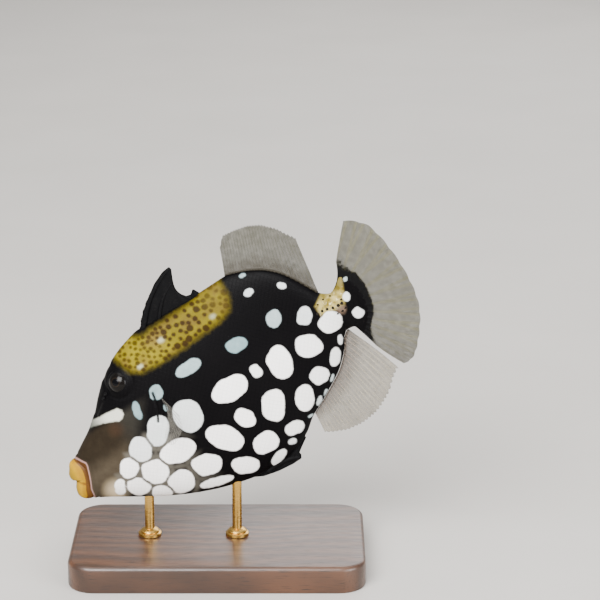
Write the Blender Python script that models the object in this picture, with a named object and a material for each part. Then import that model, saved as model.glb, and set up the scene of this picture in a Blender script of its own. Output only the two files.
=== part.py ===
"""A young clown triggerfish, life size, nose down on a display stand.

The fish is drawn in its own frame, in millimetres: s runs from the snout to the tail, y across
(the left side is negative) and h up from the line between mouth and tail. put_down() bends the
tail sideways and turns millimetres into metres. The fish's empty then tips the nose down over
the stand, whose base lies on z = 0 round the origin.
"""

import math

import bmesh
import bpy
import numpy as np
from mathutils import Matrix, Vector

MM = 0.001
GAP = 0.3                    # kept between pieces that touch

# Driving sizes, in millimetres and degrees
STANDARD_LENGTH = 84.0       # snout to the end of the backbone
CAUDAL_LENGTH = 22.0         # longest rays of the tail fin
NOSE_DOWN = 33.3
TAIL_BEND = 24.0             # sideways, towards the left side
BEND_START = 60.0
BEND_END = STANDARD_LENGTH
SNOUT_HEIGHT = 25.0          # of the snout above the floor
FISH_CENTRE = 37.0           # of the fish's width, from the snout, set over the base's middle

EYE_STATION = 24.0
EYE_HEIGHT = 14.8
EYE_RADIUS = 3.0
EYE_DEPTH_RADIUS = 2.4
EYE_SINK = 1.1               # of the ball's middle below the skin
EYE_RIM = 0.55               # how far the rim round the socket stands up
NOSTRILS = [(18.0, 12.9), (19.2, 13.6)]
NOSTRIL_RADIUS = 0.38
NOSTRIL_DEPTH = 0.8

MEMBRANE = 0.5               # fin skin
RAY = 0.9                    # fin skin where a ray stiffens it
SPINE_ROOT = 1.0             # radius of the big first spine

BASE_LENGTH = 76.0
BASE_WIDTH = 44.0
BASE_THICKNESS = 7.0
BASE_CORNER = 7.0
BASE_CHAMFER = 1.2
CORNER_STEPS = 5
ROD_RADIUS = 1.25
ROD_SOCKET = 5.0             # how far each rod goes up into the belly
ROD_SEAT = 4.0               # and down into the base
ROD_SIDES = 20
ROD_HOLE_SIDES = 16
COLLAR_RADIUS = 3.0
COLLAR_HEIGHT = 1.8
COLLAR_TOP_RADIUS = 2.0
ROD_STATIONS = {"front": 12.0, "rear": 33.0}

# The body's outline, half width, widest level and section, each as (station, value) points
BACK_LINE = [(-3, 0.2), (3, 3.5), (6, 5.25), (9, 7.0), (13, 10.1), (17, 13.8), (21, 17.2),
             (25, 19.5), (30, 21.4), (36, 22.6), (45, 22.4), (53, 22.1), (61, 22.2), (65, 21.1),
             (70, 18.8), (74, 15.4), (76, 12.6), (78, 9.2), (80, 6.0), (82.5, 4.9), (88, 5.3)]
BELLY_LINE = [(-3, -7.2), (0.5, -9.3), (4, -11.3), (8, -13.9), (16, -18.9), (24, -22.9),
              (32, -25.7), (40, -27.3), (47, -27.4), (52, -26.2), (56, -24.2), (60, -21.2),
              (64, -19.2), (68, -16.9), (72, -14.4), (75, -11.8), (77, -9.6), (79, -6.8),
              (81, -5.5), (88, -5.8)]
HALF_WIDTH = [(-3, 2.3), (0, 3.1), (4, 4.3), (10, 5.9), (18, 7.2), (26, 8.0), (34, 8.3),
              (42, 8.1), (50, 7.3), (58, 6.1), (66, 4.7), (74, 3.3), (80, 2.5), (88, 2.3)]
WIDEST_LEVEL = [(-3, -3.0), (5, -3.2), (15, -1.0), (25, 0.5), (35, 0.5), (50, -1.0),
                (65, -1.0), (75, -0.5), (88, -0.3)]
UPPER_SECTION = [(-3, 2.0), (20, 1.8), (40, 1.75), (65, 1.8), (82, 2.0)]
LOWER_SECTION = [(-3, 2.0), (15, 1.7), (40, 1.6), (65, 1.7), (82, 2.0)]

# Where the body is parted: each plane as its point (s, h) and its lean from upright
MOUTH_PLANE = ((1.06, -3.03), 9.4)
GILL_PLANE = ((30.4, 3.8), 11.6)
PEDUNCLE_PLANE = ((76.0, 0.0), 0.0)
TAIL_PLANE = ((STANDARD_LENGTH - 1.0, 0.0), 0.0)

RING_POINTS = 36

# Colours of the sub-parts
BLACK_SKIN = ("black_skin", (0.018, 0.017, 0.021, 1.0), 0.35)
ORANGE_LIP = ("orange_lip", (0.80, 0.42, 0.06, 1.0), 0.4)
DARK_EYE = ("dark_eye", (0.02, 0.012, 0.01, 1.0), 0.08)
CLEAR_FIN = ("clear_fin", (0.62, 0.64, 0.58, 1.0), 0.35)
WALNUT = ("walnut", (0.17, 0.085, 0.045, 1.0), 0.45)
BRASS = ("brass", (0.78, 0.57, 0.24, 1.0), 0.28)


def clear_scene():
    for item in list(bpy.data.objects):
        bpy.data.objects.remove(item, do_unlink=True)


def smooth(points, x):
    """A smooth line through the points, read at x: cubic pieces whose slopes keep from overshooting."""
    px, py = (np.array(column, float) for column in zip(*points))
    step = np.diff(px)
    rise = np.diff(py) / step
    slope = np.empty(len(px))
    slope[0], slope[-1] = rise[0], rise[-1]
    weight_a = 2 * step[1:] + step[:-1]
    weight_b = step[1:] + 2 * step[:-1]
    same_way = rise[:-1] * rise[1:] > 0
    safe = np.where(same_way, rise[:-1] * rise[1:], 1.0)
    mean = (weight_a + weight_b) * safe / (weight_a * rise[1:] + weight_b * rise[:-1] + 1e-30)
    slope[1:-1] = np.where(same_way, mean, 0.0)
    x = np.clip(np.asarray(x, float), px[0], px[-1])
    k = np.clip(np.searchsorted(px, x, side="right") - 1, 0, len(step) - 1)
    t = (x - px[k]) / step[k]
    t2, t3 = t * t, t * t * t
    return (
        (2 * t3 - 3 * t2 + 1) * py[k]
        + (t3 - 2 * t2 + t) * step[k] * slope[k]
        + (3 * t2 - 2 * t3) * py[k + 1]
        + (t3 - t2) * step[k] * slope[k + 1]
    )


def back(s):
    return smooth(BACK_LINE, s)


def belly(s):
    return smooth(BELLY_LINE, s)


def side(s, h):
    """Half the body's width at station s and height h, with the swelling round the eye."""
    s, h = np.asarray(s, float), np.asarray(h, float)
    level = smooth(WIDEST_LEVEL, s)
    upper = h > level
    reach = np.where(upper, back(s) - level, level - belly(s))
    power = np.where(upper, smooth(UPPER_SECTION, s), smooth(LOWER_SECTION, s))
    t = np.clip(np.abs(h - level) / reach, 0.0, 1.0)
    return smooth(HALF_WIDTH, s) * (1 - t**power) ** (1 / power) + eye_swelling(s, h)


def eye_swelling(s, h):
    """The low rim round the socket."""
    distance = np.hypot(np.asarray(s) - EYE_STATION, np.asarray(h) - EYE_HEIGHT)
    return EYE_RIM * np.exp(-((distance / (1.15 * EYE_RADIUS)) ** 4))


def side_normal(s, h):
    """The left side's outward normal, as (s, y, h)."""
    d = 0.2
    ds = (side(s + d, h) - side(s - d, h)) / (2 * d)
    dh = (side(s, h + d) - side(s, h - d)) / (2 * d)
    n = np.array([-float(ds), -1.0, -float(dh)])
    return n / np.linalg.norm(n)


def put_down(co):
    """Fish millimetres to the fish's frame in metres, with the tail bent to the left."""
    co = np.asarray(co, float)
    s, y, h = co[..., 0], co[..., 1], co[..., 2]
    radius = (BEND_END - BEND_START) / math.radians(TAIL_BEND)
    turn = np.clip((s - BEND_START) / radius, 0.0, math.radians(TAIL_BEND))
    past = np.maximum(s - BEND_END, 0.0)
    along = np.minimum(s, BEND_START) + radius * np.sin(turn) + past * np.cos(turn)
    across = -radius * (1 - np.cos(turn)) - past * np.sin(turn)
    return np.stack([along + y * np.sin(turn), across + y * np.cos(turn), h], -1) * MM


def stand_place(s, h):
    """A point of the fish's midline as x and z over the floor, in millimetres, ahead of the bend."""
    a = math.radians(NOSE_DOWN)
    x = s * math.cos(a) - h * math.sin(a) - FISH_CENTRE
    z = s * math.sin(a) + h * math.cos(a) + SNOUT_HEIGHT
    return x, z


def new_object(name, verts, faces):
    mesh = bpy.data.meshes.new(name)
    mesh.from_pydata([tuple(map(float, v)) for v in verts], [], faces)
    mesh.update()
    found = bpy.data.objects.new(name, mesh)
    bpy.context.scene.collection.objects.link(found)
    return found


def boolean(target, pieces, operation):
    """Joins the pieces to the target or cuts them out of it, in one step, and removes them."""
    group = bpy.data.collections.new(target.name + "_pieces")
    bpy.context.scene.collection.children.link(group)
    for piece in pieces:
        bpy.context.scene.collection.objects.unlink(piece)
        group.objects.link(piece)
    modifier = target.modifiers.new("join", "BOOLEAN")
    modifier.operation = operation
    modifier.operand_type = "COLLECTION"
    modifier.collection = group
    modifier.solver = "EXACT"
    bpy.context.view_layer.update()
    evaluated = target.evaluated_get(bpy.context.evaluated_depsgraph_get())
    mesh = bpy.data.meshes.new_from_object(evaluated)
    target.modifiers.clear()
    target.data = mesh
    for piece in pieces:
        bpy.data.objects.remove(piece, do_unlink=True)
    bpy.data.collections.remove(group)
    return target


def keep_largest(target):
    """Keeps only the largest closed surface of an object."""
    bm = bmesh.new()
    bm.from_mesh(target.data)
    bmesh.ops.triangulate(bm, faces=bm.faces)
    left, shells = set(bm.faces), []
    while left:
        todo, shell = [next(iter(left))], set()
        while todo:
            face = todo.pop()
            if face in shell:
                continue
            shell.add(face)
            todo += [f for e in face.edges for f in e.link_faces if f not in shell]
        left -= shell
        shells.append(shell)
    best = max(shells, key=lambda shell: sum(f.calc_area() for f in shell))
    bmesh.ops.delete(bm, geom=[f for f in bm.faces if f not in best], context="FACES")
    bm.to_mesh(target.data)
    bm.free()
    return target


def ring(s, grow=0.0):
    """One cross-section of the body at station s, as points round it."""
    level = float(smooth(WIDEST_LEVEL, s))
    points = []
    for k in range(RING_POINTS):
        a = 2 * math.pi * k / RING_POINTS
        upper = math.sin(a) > 0
        power = float(smooth(UPPER_SECTION if upper else LOWER_SECTION, s))
        reach = float(back(s)) - level if upper else level - float(belly(s))
        half = float(smooth(HALF_WIDTH, s)) + grow
        h = level + math.copysign((reach + grow) * abs(math.sin(a)) ** (2 / power), math.sin(a))
        y = math.copysign(half * abs(math.cos(a)) ** (2 / power), math.cos(a))
        if abs(y) > 0.3:
            y += math.copysign(float(eye_swelling(s, h)), y)
        points.append((s, y, h))
    return points


def body_loft(name, grow=0.0):
    """The whole body from ahead of the mouth to the tail, as one closed shape."""
    stations = np.concatenate([
        np.arange(-3.0, 16.0, 1.25),
        np.arange(16.0, 30.5, 1.1),
        np.arange(31.0, 62.0, 2.0),
        np.arange(62.5, 86.5, 1.25),
    ])
    rings = [ring(float(s), grow) for s in stations]
    verts = [p for r in rings for p in r]
    faces = []
    for i in range(len(rings) - 1):
        for k in range(RING_POINTS):
            a, b = i * RING_POINTS + k, i * RING_POINTS + (k + 1) % RING_POINTS
            faces.append((a, b, b + RING_POINTS, a + RING_POINTS))
    last = (len(rings) - 1) * RING_POINTS
    faces.append(tuple(reversed(range(RING_POINTS))))
    faces.append(tuple(range(last, last + RING_POINTS)))
    return face_out(new_object(name, verts, faces))


def face_out(target):
    bm = bmesh.new()
    bm.from_mesh(target.data)
    bmesh.ops.recalc_face_normals(bm, faces=bm.faces)
    bm.to_mesh(target.data)
    bm.free()
    return target


def trim(target, plane, keep, shift=0.0):
    """Cuts an object by a plane (s, h) leaning from upright, keeps one side and closes the cut."""
    (s, h), lean = plane
    a = math.radians(lean)
    normal = Vector((math.cos(a), 0.0, -math.sin(a)))
    point = Vector((s, 0.0, h)) + normal * shift
    bm = bmesh.new()
    bm.from_mesh(target.data)
    cut = bmesh.ops.bisect_plane(
        bm, geom=bm.verts[:] + bm.edges[:] + bm.faces[:], dist=1e-5, plane_co=point,
        plane_no=normal, clear_outer=keep == "front", clear_inner=keep == "rear",
    )
    edges = [e for e in cut["geom_cut"] if isinstance(e, bmesh.types.BMEdge)]
    bmesh.ops.holes_fill(bm, edges=edges, sides=0)
    bmesh.ops.recalc_face_normals(bm, faces=bm.faces)
    bm.to_mesh(target.data)
    bm.free()
    return target


def cylinder(name, start, end, radius, sides=12):
    """A closed cylinder between two points."""
    start, end = Vector(start), Vector(end)
    axis = end - start
    turn = axis.to_track_quat("Z", "Y").to_matrix().to_4x4()
    bm = bmesh.new()
    bmesh.ops.create_cone(
        bm, cap_ends=True, segments=sides, radius1=radius, radius2=radius, depth=axis.length,
        matrix=Matrix.Translation((start + end) / 2) @ turn,
    )
    mesh = bpy.data.meshes.new(name)
    bm.to_mesh(mesh)
    bm.free()
    found = bpy.data.objects.new(name, mesh)
    bpy.context.scene.collection.objects.link(found)
    return found


def eye_ball(name, hand, grow=0.0, across=20, down=12):
    """A flattened ball set square to the cheek. hand is -1 on the left and +1 on the right."""
    n = side_normal(EYE_STATION, EYE_HEIGHT)
    skin = float(side(EYE_STATION, EYE_HEIGHT)) - float(eye_swelling(EYE_STATION, EYE_HEIGHT))
    centre = np.array([EYE_STATION, -skin, EYE_HEIGHT]) - n * EYE_SINK
    centre[1] *= -hand
    facing = Vector((n[0], -hand * n[1], n[2]))
    turn = facing.to_track_quat("Z", "Y").to_matrix().to_4x4()
    size = Matrix.Diagonal((EYE_RADIUS + grow, EYE_RADIUS + grow, EYE_DEPTH_RADIUS + grow, 1.0))
    bm = bmesh.new()
    bmesh.ops.create_uvsphere(
        bm, u_segments=across, v_segments=down, radius=1.0,
        matrix=Matrix.Translation(Vector(centre)) @ turn @ size,
    )
    bmesh.ops.recalc_face_normals(bm, faces=bm.faces)
    mesh = bpy.data.meshes.new(name)
    bm.to_mesh(mesh)
    bm.free()
    found = bpy.data.objects.new(name, mesh)
    bpy.context.scene.collection.objects.link(found)
    return found


def nostril(hand, s, h):
    """A cutter for one of the two small nostrils ahead of the eye."""
    n = side_normal(s, h)
    skin = np.array([s, -float(side(s, h)), h])
    ends = [skin + n * NOSTRIL_DEPTH, skin - n * NOSTRIL_DEPTH]
    for end in ends:
        end[1] *= -hand
    return cylinder("nostril", ends[0], ends[1], NOSTRIL_RADIUS, 8)


GILL_LINE = [(30.4, 8.3), (30.0, 6.6), (29.3, 4.8), (28.4, 3.0), (27.4, 1.2)]
GILL_HALF_WIDTH = 0.28
GILL_DEPTH = 1.4


def gill_slit(hand):
    """A cutter for the short slit of the gill, a thin curved blade sunk into the cheek."""
    inner, outer = [], []
    for s, h in GILL_LINE:
        n = side_normal(s, h)
        skin = np.array([s, -float(side(s, h)), h])
        outer.append(skin + n * 1.0)
        inner.append(skin - n * GILL_DEPTH)
    verts, faces = [], []
    for o, i in zip(outer, inner):
        for point in (o, i):
            for edge in (-GILL_HALF_WIDTH, GILL_HALF_WIDTH):
                verts.append((point[0] + edge, -hand * point[1], point[2]))
    for k in range(len(GILL_LINE) - 1):
        a = 4 * k
        faces += [(a, a + 1, a + 5, a + 4), (a + 2, a + 6, a + 7, a + 3),
                  (a, a + 4, a + 6, a + 2), (a + 1, a + 3, a + 7, a + 5)]
    last = 4 * (len(GILL_LINE) - 1)
    faces += [(0, 2, 3, 1), (last, last + 1, last + 3, last + 2)]
    return face_out(new_object("gill_slit", verts, faces))


def rod_top(station):
    """Where a rod enters the belly and where it ends, as x, entry z and top z over the floor."""
    x, z = stand_place(station, float(belly(station)))
    return x, z, z + ROD_SOCKET


def rod_hole(station):
    """A cutter in the fish's frame for the socket that a rod goes up into."""
    x, z, top = rod_top(station)
    a = math.radians(NOSE_DOWN)

    def in_fish(height):
        dx, dz = x + FISH_CENTRE, height - SNOUT_HEIGHT
        return (dx * math.cos(a) + dz * math.sin(a), 0.0, dz * math.cos(a) - dx * math.sin(a))

    below = in_fish(z - 6.0)
    return cylinder("rod_hole", below, in_fish(top + GAP), ROD_RADIUS + GAP, ROD_HOLE_SIDES)


def build_head():
    head = body_loft("head")
    trim(head, GILL_PLANE, "front", -GAP / 2)
    cutters = [mouth_front(), rod_hole(ROD_STATIONS["front"])]
    for hand in (-1, 1):
        cutters.append(eye_ball("socket", hand, GAP))
        cutters.append(gill_slit(hand))
        cutters += [nostril(hand, s, h) for s, h in NOSTRILS]
    return keep_largest(boolean(head, cutters, "DIFFERENCE"))


def build_trunk():
    trunk = body_loft("trunk")
    trim(trunk, GILL_PLANE, "rear", GAP / 2)
    trim(trunk, PEDUNCLE_PLANE, "front", -GAP / 2)
    return keep_largest(boolean(trunk, [rod_hole(ROD_STATIONS["rear"])], "DIFFERENCE"))


def build_peduncle():
    peduncle = body_loft("tail_peduncle")
    trim(peduncle, PEDUNCLE_PLANE, "rear", GAP / 2)
    return keep_largest(trim(peduncle, TAIL_PLANE, "front"))


# The lips: one dome over the snout's front, parted by the slanting mouth. Its front line is given
# up the mouth's plane, as (level, lift) points, and its back swings rearward at the sides
LIP_HALF_WIDTH = 3.3
LIP_REACH = 5.75             # up and down from the middle
LIP_CORNER = 2.3             # how square the outline is, with 2 for an oval
LIP_ROUND = 2.7
LIP_FRONT = [(-5.75, 0.0), (-5.6, 0.9), (-5.2, 1.65), (-4.5, 2.6), (-3.5, 3.1), (-2.6, 3.15),
             (-1.7, 2.95), (-0.8, 2.55), (0.0, 2.15), (0.35, 1.95), (0.6, 2.3), (1.0, 3.0),
             (1.6, 3.2), (2.2, 3.15), (3.0, 2.85), (3.8, 2.45), (4.6, 2.05), (5.2, 1.65),
             (5.6, 0.9), (5.75, 0.0)]
LIP_BACK = [(-6, 0.0), (-3, 0.25), (0, 1.0), (2, 1.45), (4, 1.75), (6, 1.4)]
LIP_RINGS = 12
LIP_SECTORS = 44
MOUTH_CUT = ((-0.81, -2.32), 130.0)


def mouth_place(level, across, lift):
    """A point over the mouth's plane, as (s, y, h). The plane bends rearward at the sides."""
    (s0, h0), lean = MOUTH_PLANE
    a = math.radians(lean)
    lift = lift - float(smooth(LIP_BACK, level)) * (across / LIP_HALF_WIDTH) ** 2
    return (s0 + math.sin(a) * level - math.cos(a) * lift, across,
            h0 + math.cos(a) * level + math.sin(a) * lift)


def mouth_front():
    """A cutter for all that lies ahead of the mouth's curved plane."""
    levels, sides = np.linspace(-9.0, 9.0, 19), np.linspace(-6.0, 6.0, 17)
    verts = [mouth_place(level, y, lift) for lift in (0.0, 14.0) for level in levels for y in sides]
    rows, count = len(sides), len(levels) * len(sides)
    faces = []
    for i in range(len(levels) - 1):
        for j in range(rows - 1):
            a = i * rows + j
            faces += [(a, a + 1, a + rows + 1, a + rows)]
            faces += [(count + a, count + a + rows, count + a + rows + 1, count + a + 1)]
    border = [j for j in range(rows)] + [i * rows + rows - 1 for i in range(1, len(levels))]
    border += [(len(levels) - 1) * rows + j for j in range(rows - 2, -1, -1)]
    border += [i * rows for i in range(len(levels) - 2, 0, -1)]
    for p, q in zip(border, border[1:] + border[:1]):
        faces.append((p, count + p, count + q, q))
    return face_out(new_object("mouth_front", verts, faces))


def lip(name, below):
    """Half of the mouth: the dome over the snout's front, cut flat along the mouth."""

    def point(share, turn, front):
        power = 2 / LIP_CORNER
        level = share * LIP_REACH * math.copysign(abs(math.sin(turn)) ** power, math.sin(turn))
        across = share * LIP_HALF_WIDTH * math.copysign(abs(math.cos(turn)) ** power, math.cos(turn))
        tall = max(1 - (abs(level) / LIP_REACH) ** LIP_CORNER, 0.0) ** (1 / LIP_CORNER)
        out = min(abs(across) / (LIP_HALF_WIDTH * max(tall, 1e-6)), 1.0)
        lift = float(smooth(LIP_FRONT, level)) * (1 - out**LIP_ROUND) ** (1 / LIP_ROUND)
        return mouth_place(level, across, GAP + (lift if front else 0.0))

    verts = [point(0.0, 0.0, True), point(0.0, 0.0, False)]
    shares = [math.sin(0.5 * math.pi * i / LIP_RINGS) for i in range(1, LIP_RINGS + 1)]
    turns = [2 * math.pi * k / LIP_SECTORS for k in range(LIP_SECTORS)]
    for share in shares:
        verts += [point(share, turn, True) for turn in turns]
    for share in shares[:-1]:
        verts += [point(share, turn, False) for turn in turns]
    faces = []
    for centre, first in ((0, 2), (1, 2 + LIP_RINGS * LIP_SECTORS)):
        rings = [first + i * LIP_SECTORS for i in range(LIP_RINGS)]
        if centre == 1:
            rings[-1] = 2 + (LIP_RINGS - 1) * LIP_SECTORS
        for k in range(LIP_SECTORS):
            after = (k + 1) % LIP_SECTORS
            faces.append((centre, rings[0] + k, rings[0] + after))
            for inner, outer in zip(rings, rings[1:]):
                faces.append((inner + k, outer + k, outer + after, inner + after))
    found = face_out(new_object(name, verts, faces))
    if below:
        return trim(found, MOUTH_CUT, "rear", GAP / 2)
    return trim(found, MOUTH_CUT, "front", -GAP / 2)


def fin_sheet(name, columns, rows, middle, half_thickness, across):
    """A closed fin: middle(u, v) is its mid-surface, across(u, v) the direction of its thickness.
    Both faces are split into triangles alike."""
    us = np.linspace(0.0, 1.0, columns)
    vs = np.linspace(0.0, 1.0, rows)
    verts = []
    for hand in (-1.0, 1.0):
        for i in range(columns):
            for v in vs:
                u = us[i]
                half = half_thickness(i, u, v)
                verts.append(np.array(middle(i, u, v)) + hand * half * np.array(across(u, v)))
    count = columns * rows
    faces = []
    for i in range(columns - 1):
        for j in range(rows - 1):
            a, b = i * rows + j, (i + 1) * rows + j
            faces += [(a, b, b + 1), (a, b + 1, a + 1)]
            faces += [(count + b + 1, count + b, count + a), (count + a + 1, count + b + 1, count + a)]
    border = [i * rows for i in range(columns)]
    border += [(columns - 1) * rows + j for j in range(1, rows)]
    border += [i * rows + rows - 1 for i in range(columns - 2, -1, -1)]
    border += [j for j in range(rows - 2, 0, -1)]
    for p, q in zip(border, border[1:] + border[:1]):
        faces += [(p, count + p, count + q), (p, count + q, q)]
    return face_out(new_object(name, verts, faces))


def straight_across(u, v):
    return (0.0, 1.0, 0.0)


def fin_half(on_ray, v):
    """Half a fin's thickness, at the share v of the way to its margin."""
    full = MEMBRANE + ((RAY - MEMBRANE) * (1 - 0.5 * v) if on_ray else 0.0)
    return 0.5 * full * (1 - 0.3 * v**4)


def edge_point(line, s, clearance):
    """A point just outside the body's upper or lower edge line, square to it."""
    slope = float(line(s + 0.2) - line(s - 0.2)) / 0.4
    normal = np.array([-slope, 1.0]) / math.hypot(slope, 1.0)
    if line is belly:
        normal = -normal
    return np.array([s, float(line(s))]) + normal * clearance


# The soft fins of the back and the belly: first and last station of the base, number of rays,
# ray length along the base and the direction of the first and last ray
DORSAL_RAYS = 26
DORSAL_BASE = (61.5, 79.6)
DORSAL_LENGTH = [(0, 8.0), (0.08, 10.8), (0.25, 11.2), (0.5, 11.9), (0.7, 13.1), (0.88, 15.2),
                 (1, 16.4)]
DORSAL_ANGLES = (64.0, 75.0)
ANAL_RAYS = 24
ANAL_BASE = (60.5, 80.8)
ANAL_LENGTH = [(0, 6.0), (0.12, 9.0), (0.35, 12.8), (0.7, 15.2), (0.92, 16.3), (1, 16.2)]
ANAL_ANGLES = (-99.0, -68.0)
SOFT_FIN_ROWS = 6
FIN_WAVE = 1.3
FIN_ROOT = 0.17              # how much thicker each face is at the root
SHORT_SKIN = 0.955           # the skin's reach between the rays, as a share of theirs


def soft_fin(name, rays, base, length, angles, line, phase):
    """A many-rayed median fin that stands on the body's edge line, with a slow wave along it."""

    def middle(i, u, v):
        angle = math.radians(angles[0] + (angles[1] - angles[0]) * u)
        reach = float(smooth(length, u)) * (1.0 if i % 2 else SHORT_SKIN)
        wave = FIN_WAVE * v * math.sin(2 * math.pi * (0.9 * u - 0.25 * v) + phase)
        s, h = edge_point(line, base[0] + (base[1] - base[0]) * u, GAP + 0.05)
        return (s + v * reach * math.cos(angle), wave, h + v * reach * math.sin(angle))

    def half_thickness(i, u, v):
        return fin_half(i % 2 == 1, v) + FIN_ROOT * max(0.0, 1 - 5 * v)

    return fin_sheet(name, 2 * rays + 1, SOFT_FIN_ROWS, middle, half_thickness, straight_across)


# The tail fin, spread wide: twelve rays that fork, between its top and bottom edge
CAUDAL_RAYS = 12
CAUDAL_COLUMNS_A_RAY = 4
CAUDAL_ROWS = 9
CAUDAL_ANGLES = (50.0, -79.0)
CAUDAL_ROOT = (4.9, -5.4)
CAUDAL_SHARE = [(0, 0.87), (0.14, 0.99), (0.3, 0.98), (0.5, 0.92), (0.7, 0.85), (0.88, 0.81),
                (1, 0.75)]
CAUDAL_SPREAD = (0.55, 0.9)  # share of a ray's angle that it has at its root, top and bottom
CAUDAL_CUP = 3.5             # how far the lobes' tips trail to the right
CAUDAL_FORK = 0.35
CAUDAL_FLESH = 0.32          # share of the rays that the tail's flesh covers
CAUDAL_FLESH_HALF = 2.25     # and half its thickness at the root
CAUDAL_RIPPLE = 0.6


def caudal_fin():
    columns = CAUDAL_RAYS * CAUDAL_COLUMNS_A_RAY + 1
    root_station = TAIL_PLANE[0][0] + GAP

    def middle(i, u, v):
        first, last = CAUDAL_SPREAD
        share = first + (last - first) * u
        angle = math.radians(CAUDAL_ANGLES[0] + (CAUDAL_ANGLES[1] - CAUDAL_ANGLES[0]) * u)
        angle *= share + (1 - share) * min(1.0, 2.2 * v)
        reach = CAUDAL_LENGTH * float(smooth(CAUDAL_SHARE, u))
        reach *= 0.965 if i % CAUDAL_COLUMNS_A_RAY == 0 else 1.0
        root = CAUDAL_ROOT[0] + (CAUDAL_ROOT[1] - CAUDAL_ROOT[0]) * u
        ripple = CAUDAL_RIPPLE * math.sin(2 * math.pi * 2.2 * u)
        across = v * v * (CAUDAL_CUP * (2 * u - 1) ** 2 + ripple)
        s = root_station + v * reach * math.cos(angle)
        h = root + v * reach * math.sin(angle)
        return (s, across, h)

    def half_thickness(i, u, v):
        place = i % CAUDAL_COLUMNS_A_RAY
        forked = v > CAUDAL_FORK
        on_ray = place in ((1, 3) if forked else (1, 2, 3))
        oval = math.sqrt(max(0.0, 1 - (2 * u - 1) ** 2))
        flesh = CAUDAL_FLESH_HALF * oval * max(0.0, 1 - v / CAUDAL_FLESH) ** 1.5
        return max(fin_half(on_ray, v), flesh)

    return fin_sheet("caudal_fin", columns, CAUDAL_ROWS, middle, half_thickness, straight_across)


# The side fins: rays swing down and forward from a short upright root behind the gill
PECTORAL_RAYS = 13
PECTORAL_ROOT = ((31.8, 5.9), (31.0, 1.4))
PECTORAL_ANGLES = (-66.0, -132.0)
PECTORAL_LENGTH = [(0, 7.0), (0.25, 9.6), (0.55, 9.9), (0.85, 8.0), (1, 6.0)]
PECTORAL_STAND_OFF = 33.0
PECTORAL_CUP = 0.9
PECTORAL_ROWS = 6


def pectoral_fin(name, hand):
    (s0, h0), (s1, h1) = PECTORAL_ROOT
    normal = side_normal((s0 + s1) / 2, (h0 + h1) / 2)
    off = math.radians(PECTORAL_STAND_OFF)

    def ray(u):
        angle = math.radians(PECTORAL_ANGLES[0] + (PECTORAL_ANGLES[1] - PECTORAL_ANGLES[0]) * u)
        flat = np.array([math.cos(angle), 0.0, math.sin(angle)])
        flat = flat - normal * float(flat @ normal)
        return math.cos(off) * flat / np.linalg.norm(flat) + math.sin(off) * normal

    def middle(i, u, v):
        s, h = s0 + (s1 - s0) * u, h0 + (h1 - h0) * u
        root = np.array([s, -float(side(s, h)), h]) + normal * (GAP + 0.12)
        reach = float(smooth(PECTORAL_LENGTH, u)) * (1.0 if i % 2 else 0.95)
        cup = normal * PECTORAL_CUP * math.sin(math.pi * u) * v * v
        found = root + ray(u) * reach * v + cup
        return (found[0], -hand * found[1], found[2])

    def across(u, v):
        edge = np.cross(ray(u), ray(min(u + 0.05, 1.0)) - ray(max(u - 0.05, 0.0)))
        edge = edge / np.linalg.norm(edge)
        return (edge[0], -hand * edge[1], edge[2])

    def half_thickness(i, u, v):
        return fin_half(i % 2 == 1, v)

    return fin_sheet(name, 2 * PECTORAL_RAYS + 1, PECTORAL_ROWS, middle, half_thickness, across)


# The first back fin: three spines, each as its root, tip, root radius and the share of that
# radius left at the tip, and the skin between them
SPINES = [((35.8, 21.0), (50.9, 31.5), SPINE_ROOT, 0.28), ((40.9, 21.2), (49.2, 27.9), 0.75, 0.3),
          ((51.4, 21.0), (52.9, 23.6), 0.5, 0.5)]
SPINE_BOW = 0.085            # of a spine's length
SPINE_SIDES = 8
SPINE_RINGS = 7
FIRST_DORSAL_SKIN = [(36.2, 20.8), (37.5, 23.6), (41.2, 27.2), (45.2, 30.0), (48.9, 31.5),
                     (51.0, 31.8), (51.2, 31.1), (50.6, 30.0), (49.95, 28.9), (49.3, 27.2),
                     (49.25, 25.6), (49.6, 24.3), (50.4, 23.2), (51.5, 22.8), (52.6, 23.7),
                     (53.2, 22.8), (53.7, 20.8)]


def spine(root, tip, radius, tip_share):
    """A tapered spine, bowed a little upward."""
    root, tip = np.array(root, float), np.array(tip, float)
    length = np.linalg.norm(tip - root)
    along = (tip - root) / length
    over = np.array([-along[1], along[0]])
    verts, faces = [], []
    for i in range(SPINE_RINGS):
        t = i / (SPINE_RINGS - 1)
        middle = root + (tip - root) * t + over * SPINE_BOW * length * 4 * t * (1 - t)
        r = radius * (1 - (1 - tip_share) * t)
        for k in range(SPINE_SIDES):
            a = 2 * math.pi * k / SPINE_SIDES
            s, h = middle + over * r * math.cos(a)
            verts.append((s, r * math.sin(a), h))
    for i in range(SPINE_RINGS - 1):
        for k in range(SPINE_SIDES):
            a, b = i * SPINE_SIDES + k, i * SPINE_SIDES + (k + 1) % SPINE_SIDES
            faces.append((a, b, b + SPINE_SIDES, a + SPINE_SIDES))
    last = (SPINE_RINGS - 1) * SPINE_SIDES
    faces.append(tuple(range(SPINE_SIDES)))
    faces.append(tuple(range(last, last + SPINE_SIDES)))
    return face_out(new_object("spine", verts, faces))


def plate(name, outline, half):
    """A flat closed plate from an outline in the midline's plane."""
    count = len(outline)
    verts = [(s, hand * half, h) for hand in (-1, 1) for s, h in outline]
    faces = [tuple(range(count)), tuple(reversed(range(count, 2 * count)))]
    for k in range(count):
        a, b = k, (k + 1) % count
        faces.append((a, count + a, count + b, b))
    return face_out(new_object(name, verts, faces))


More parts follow.
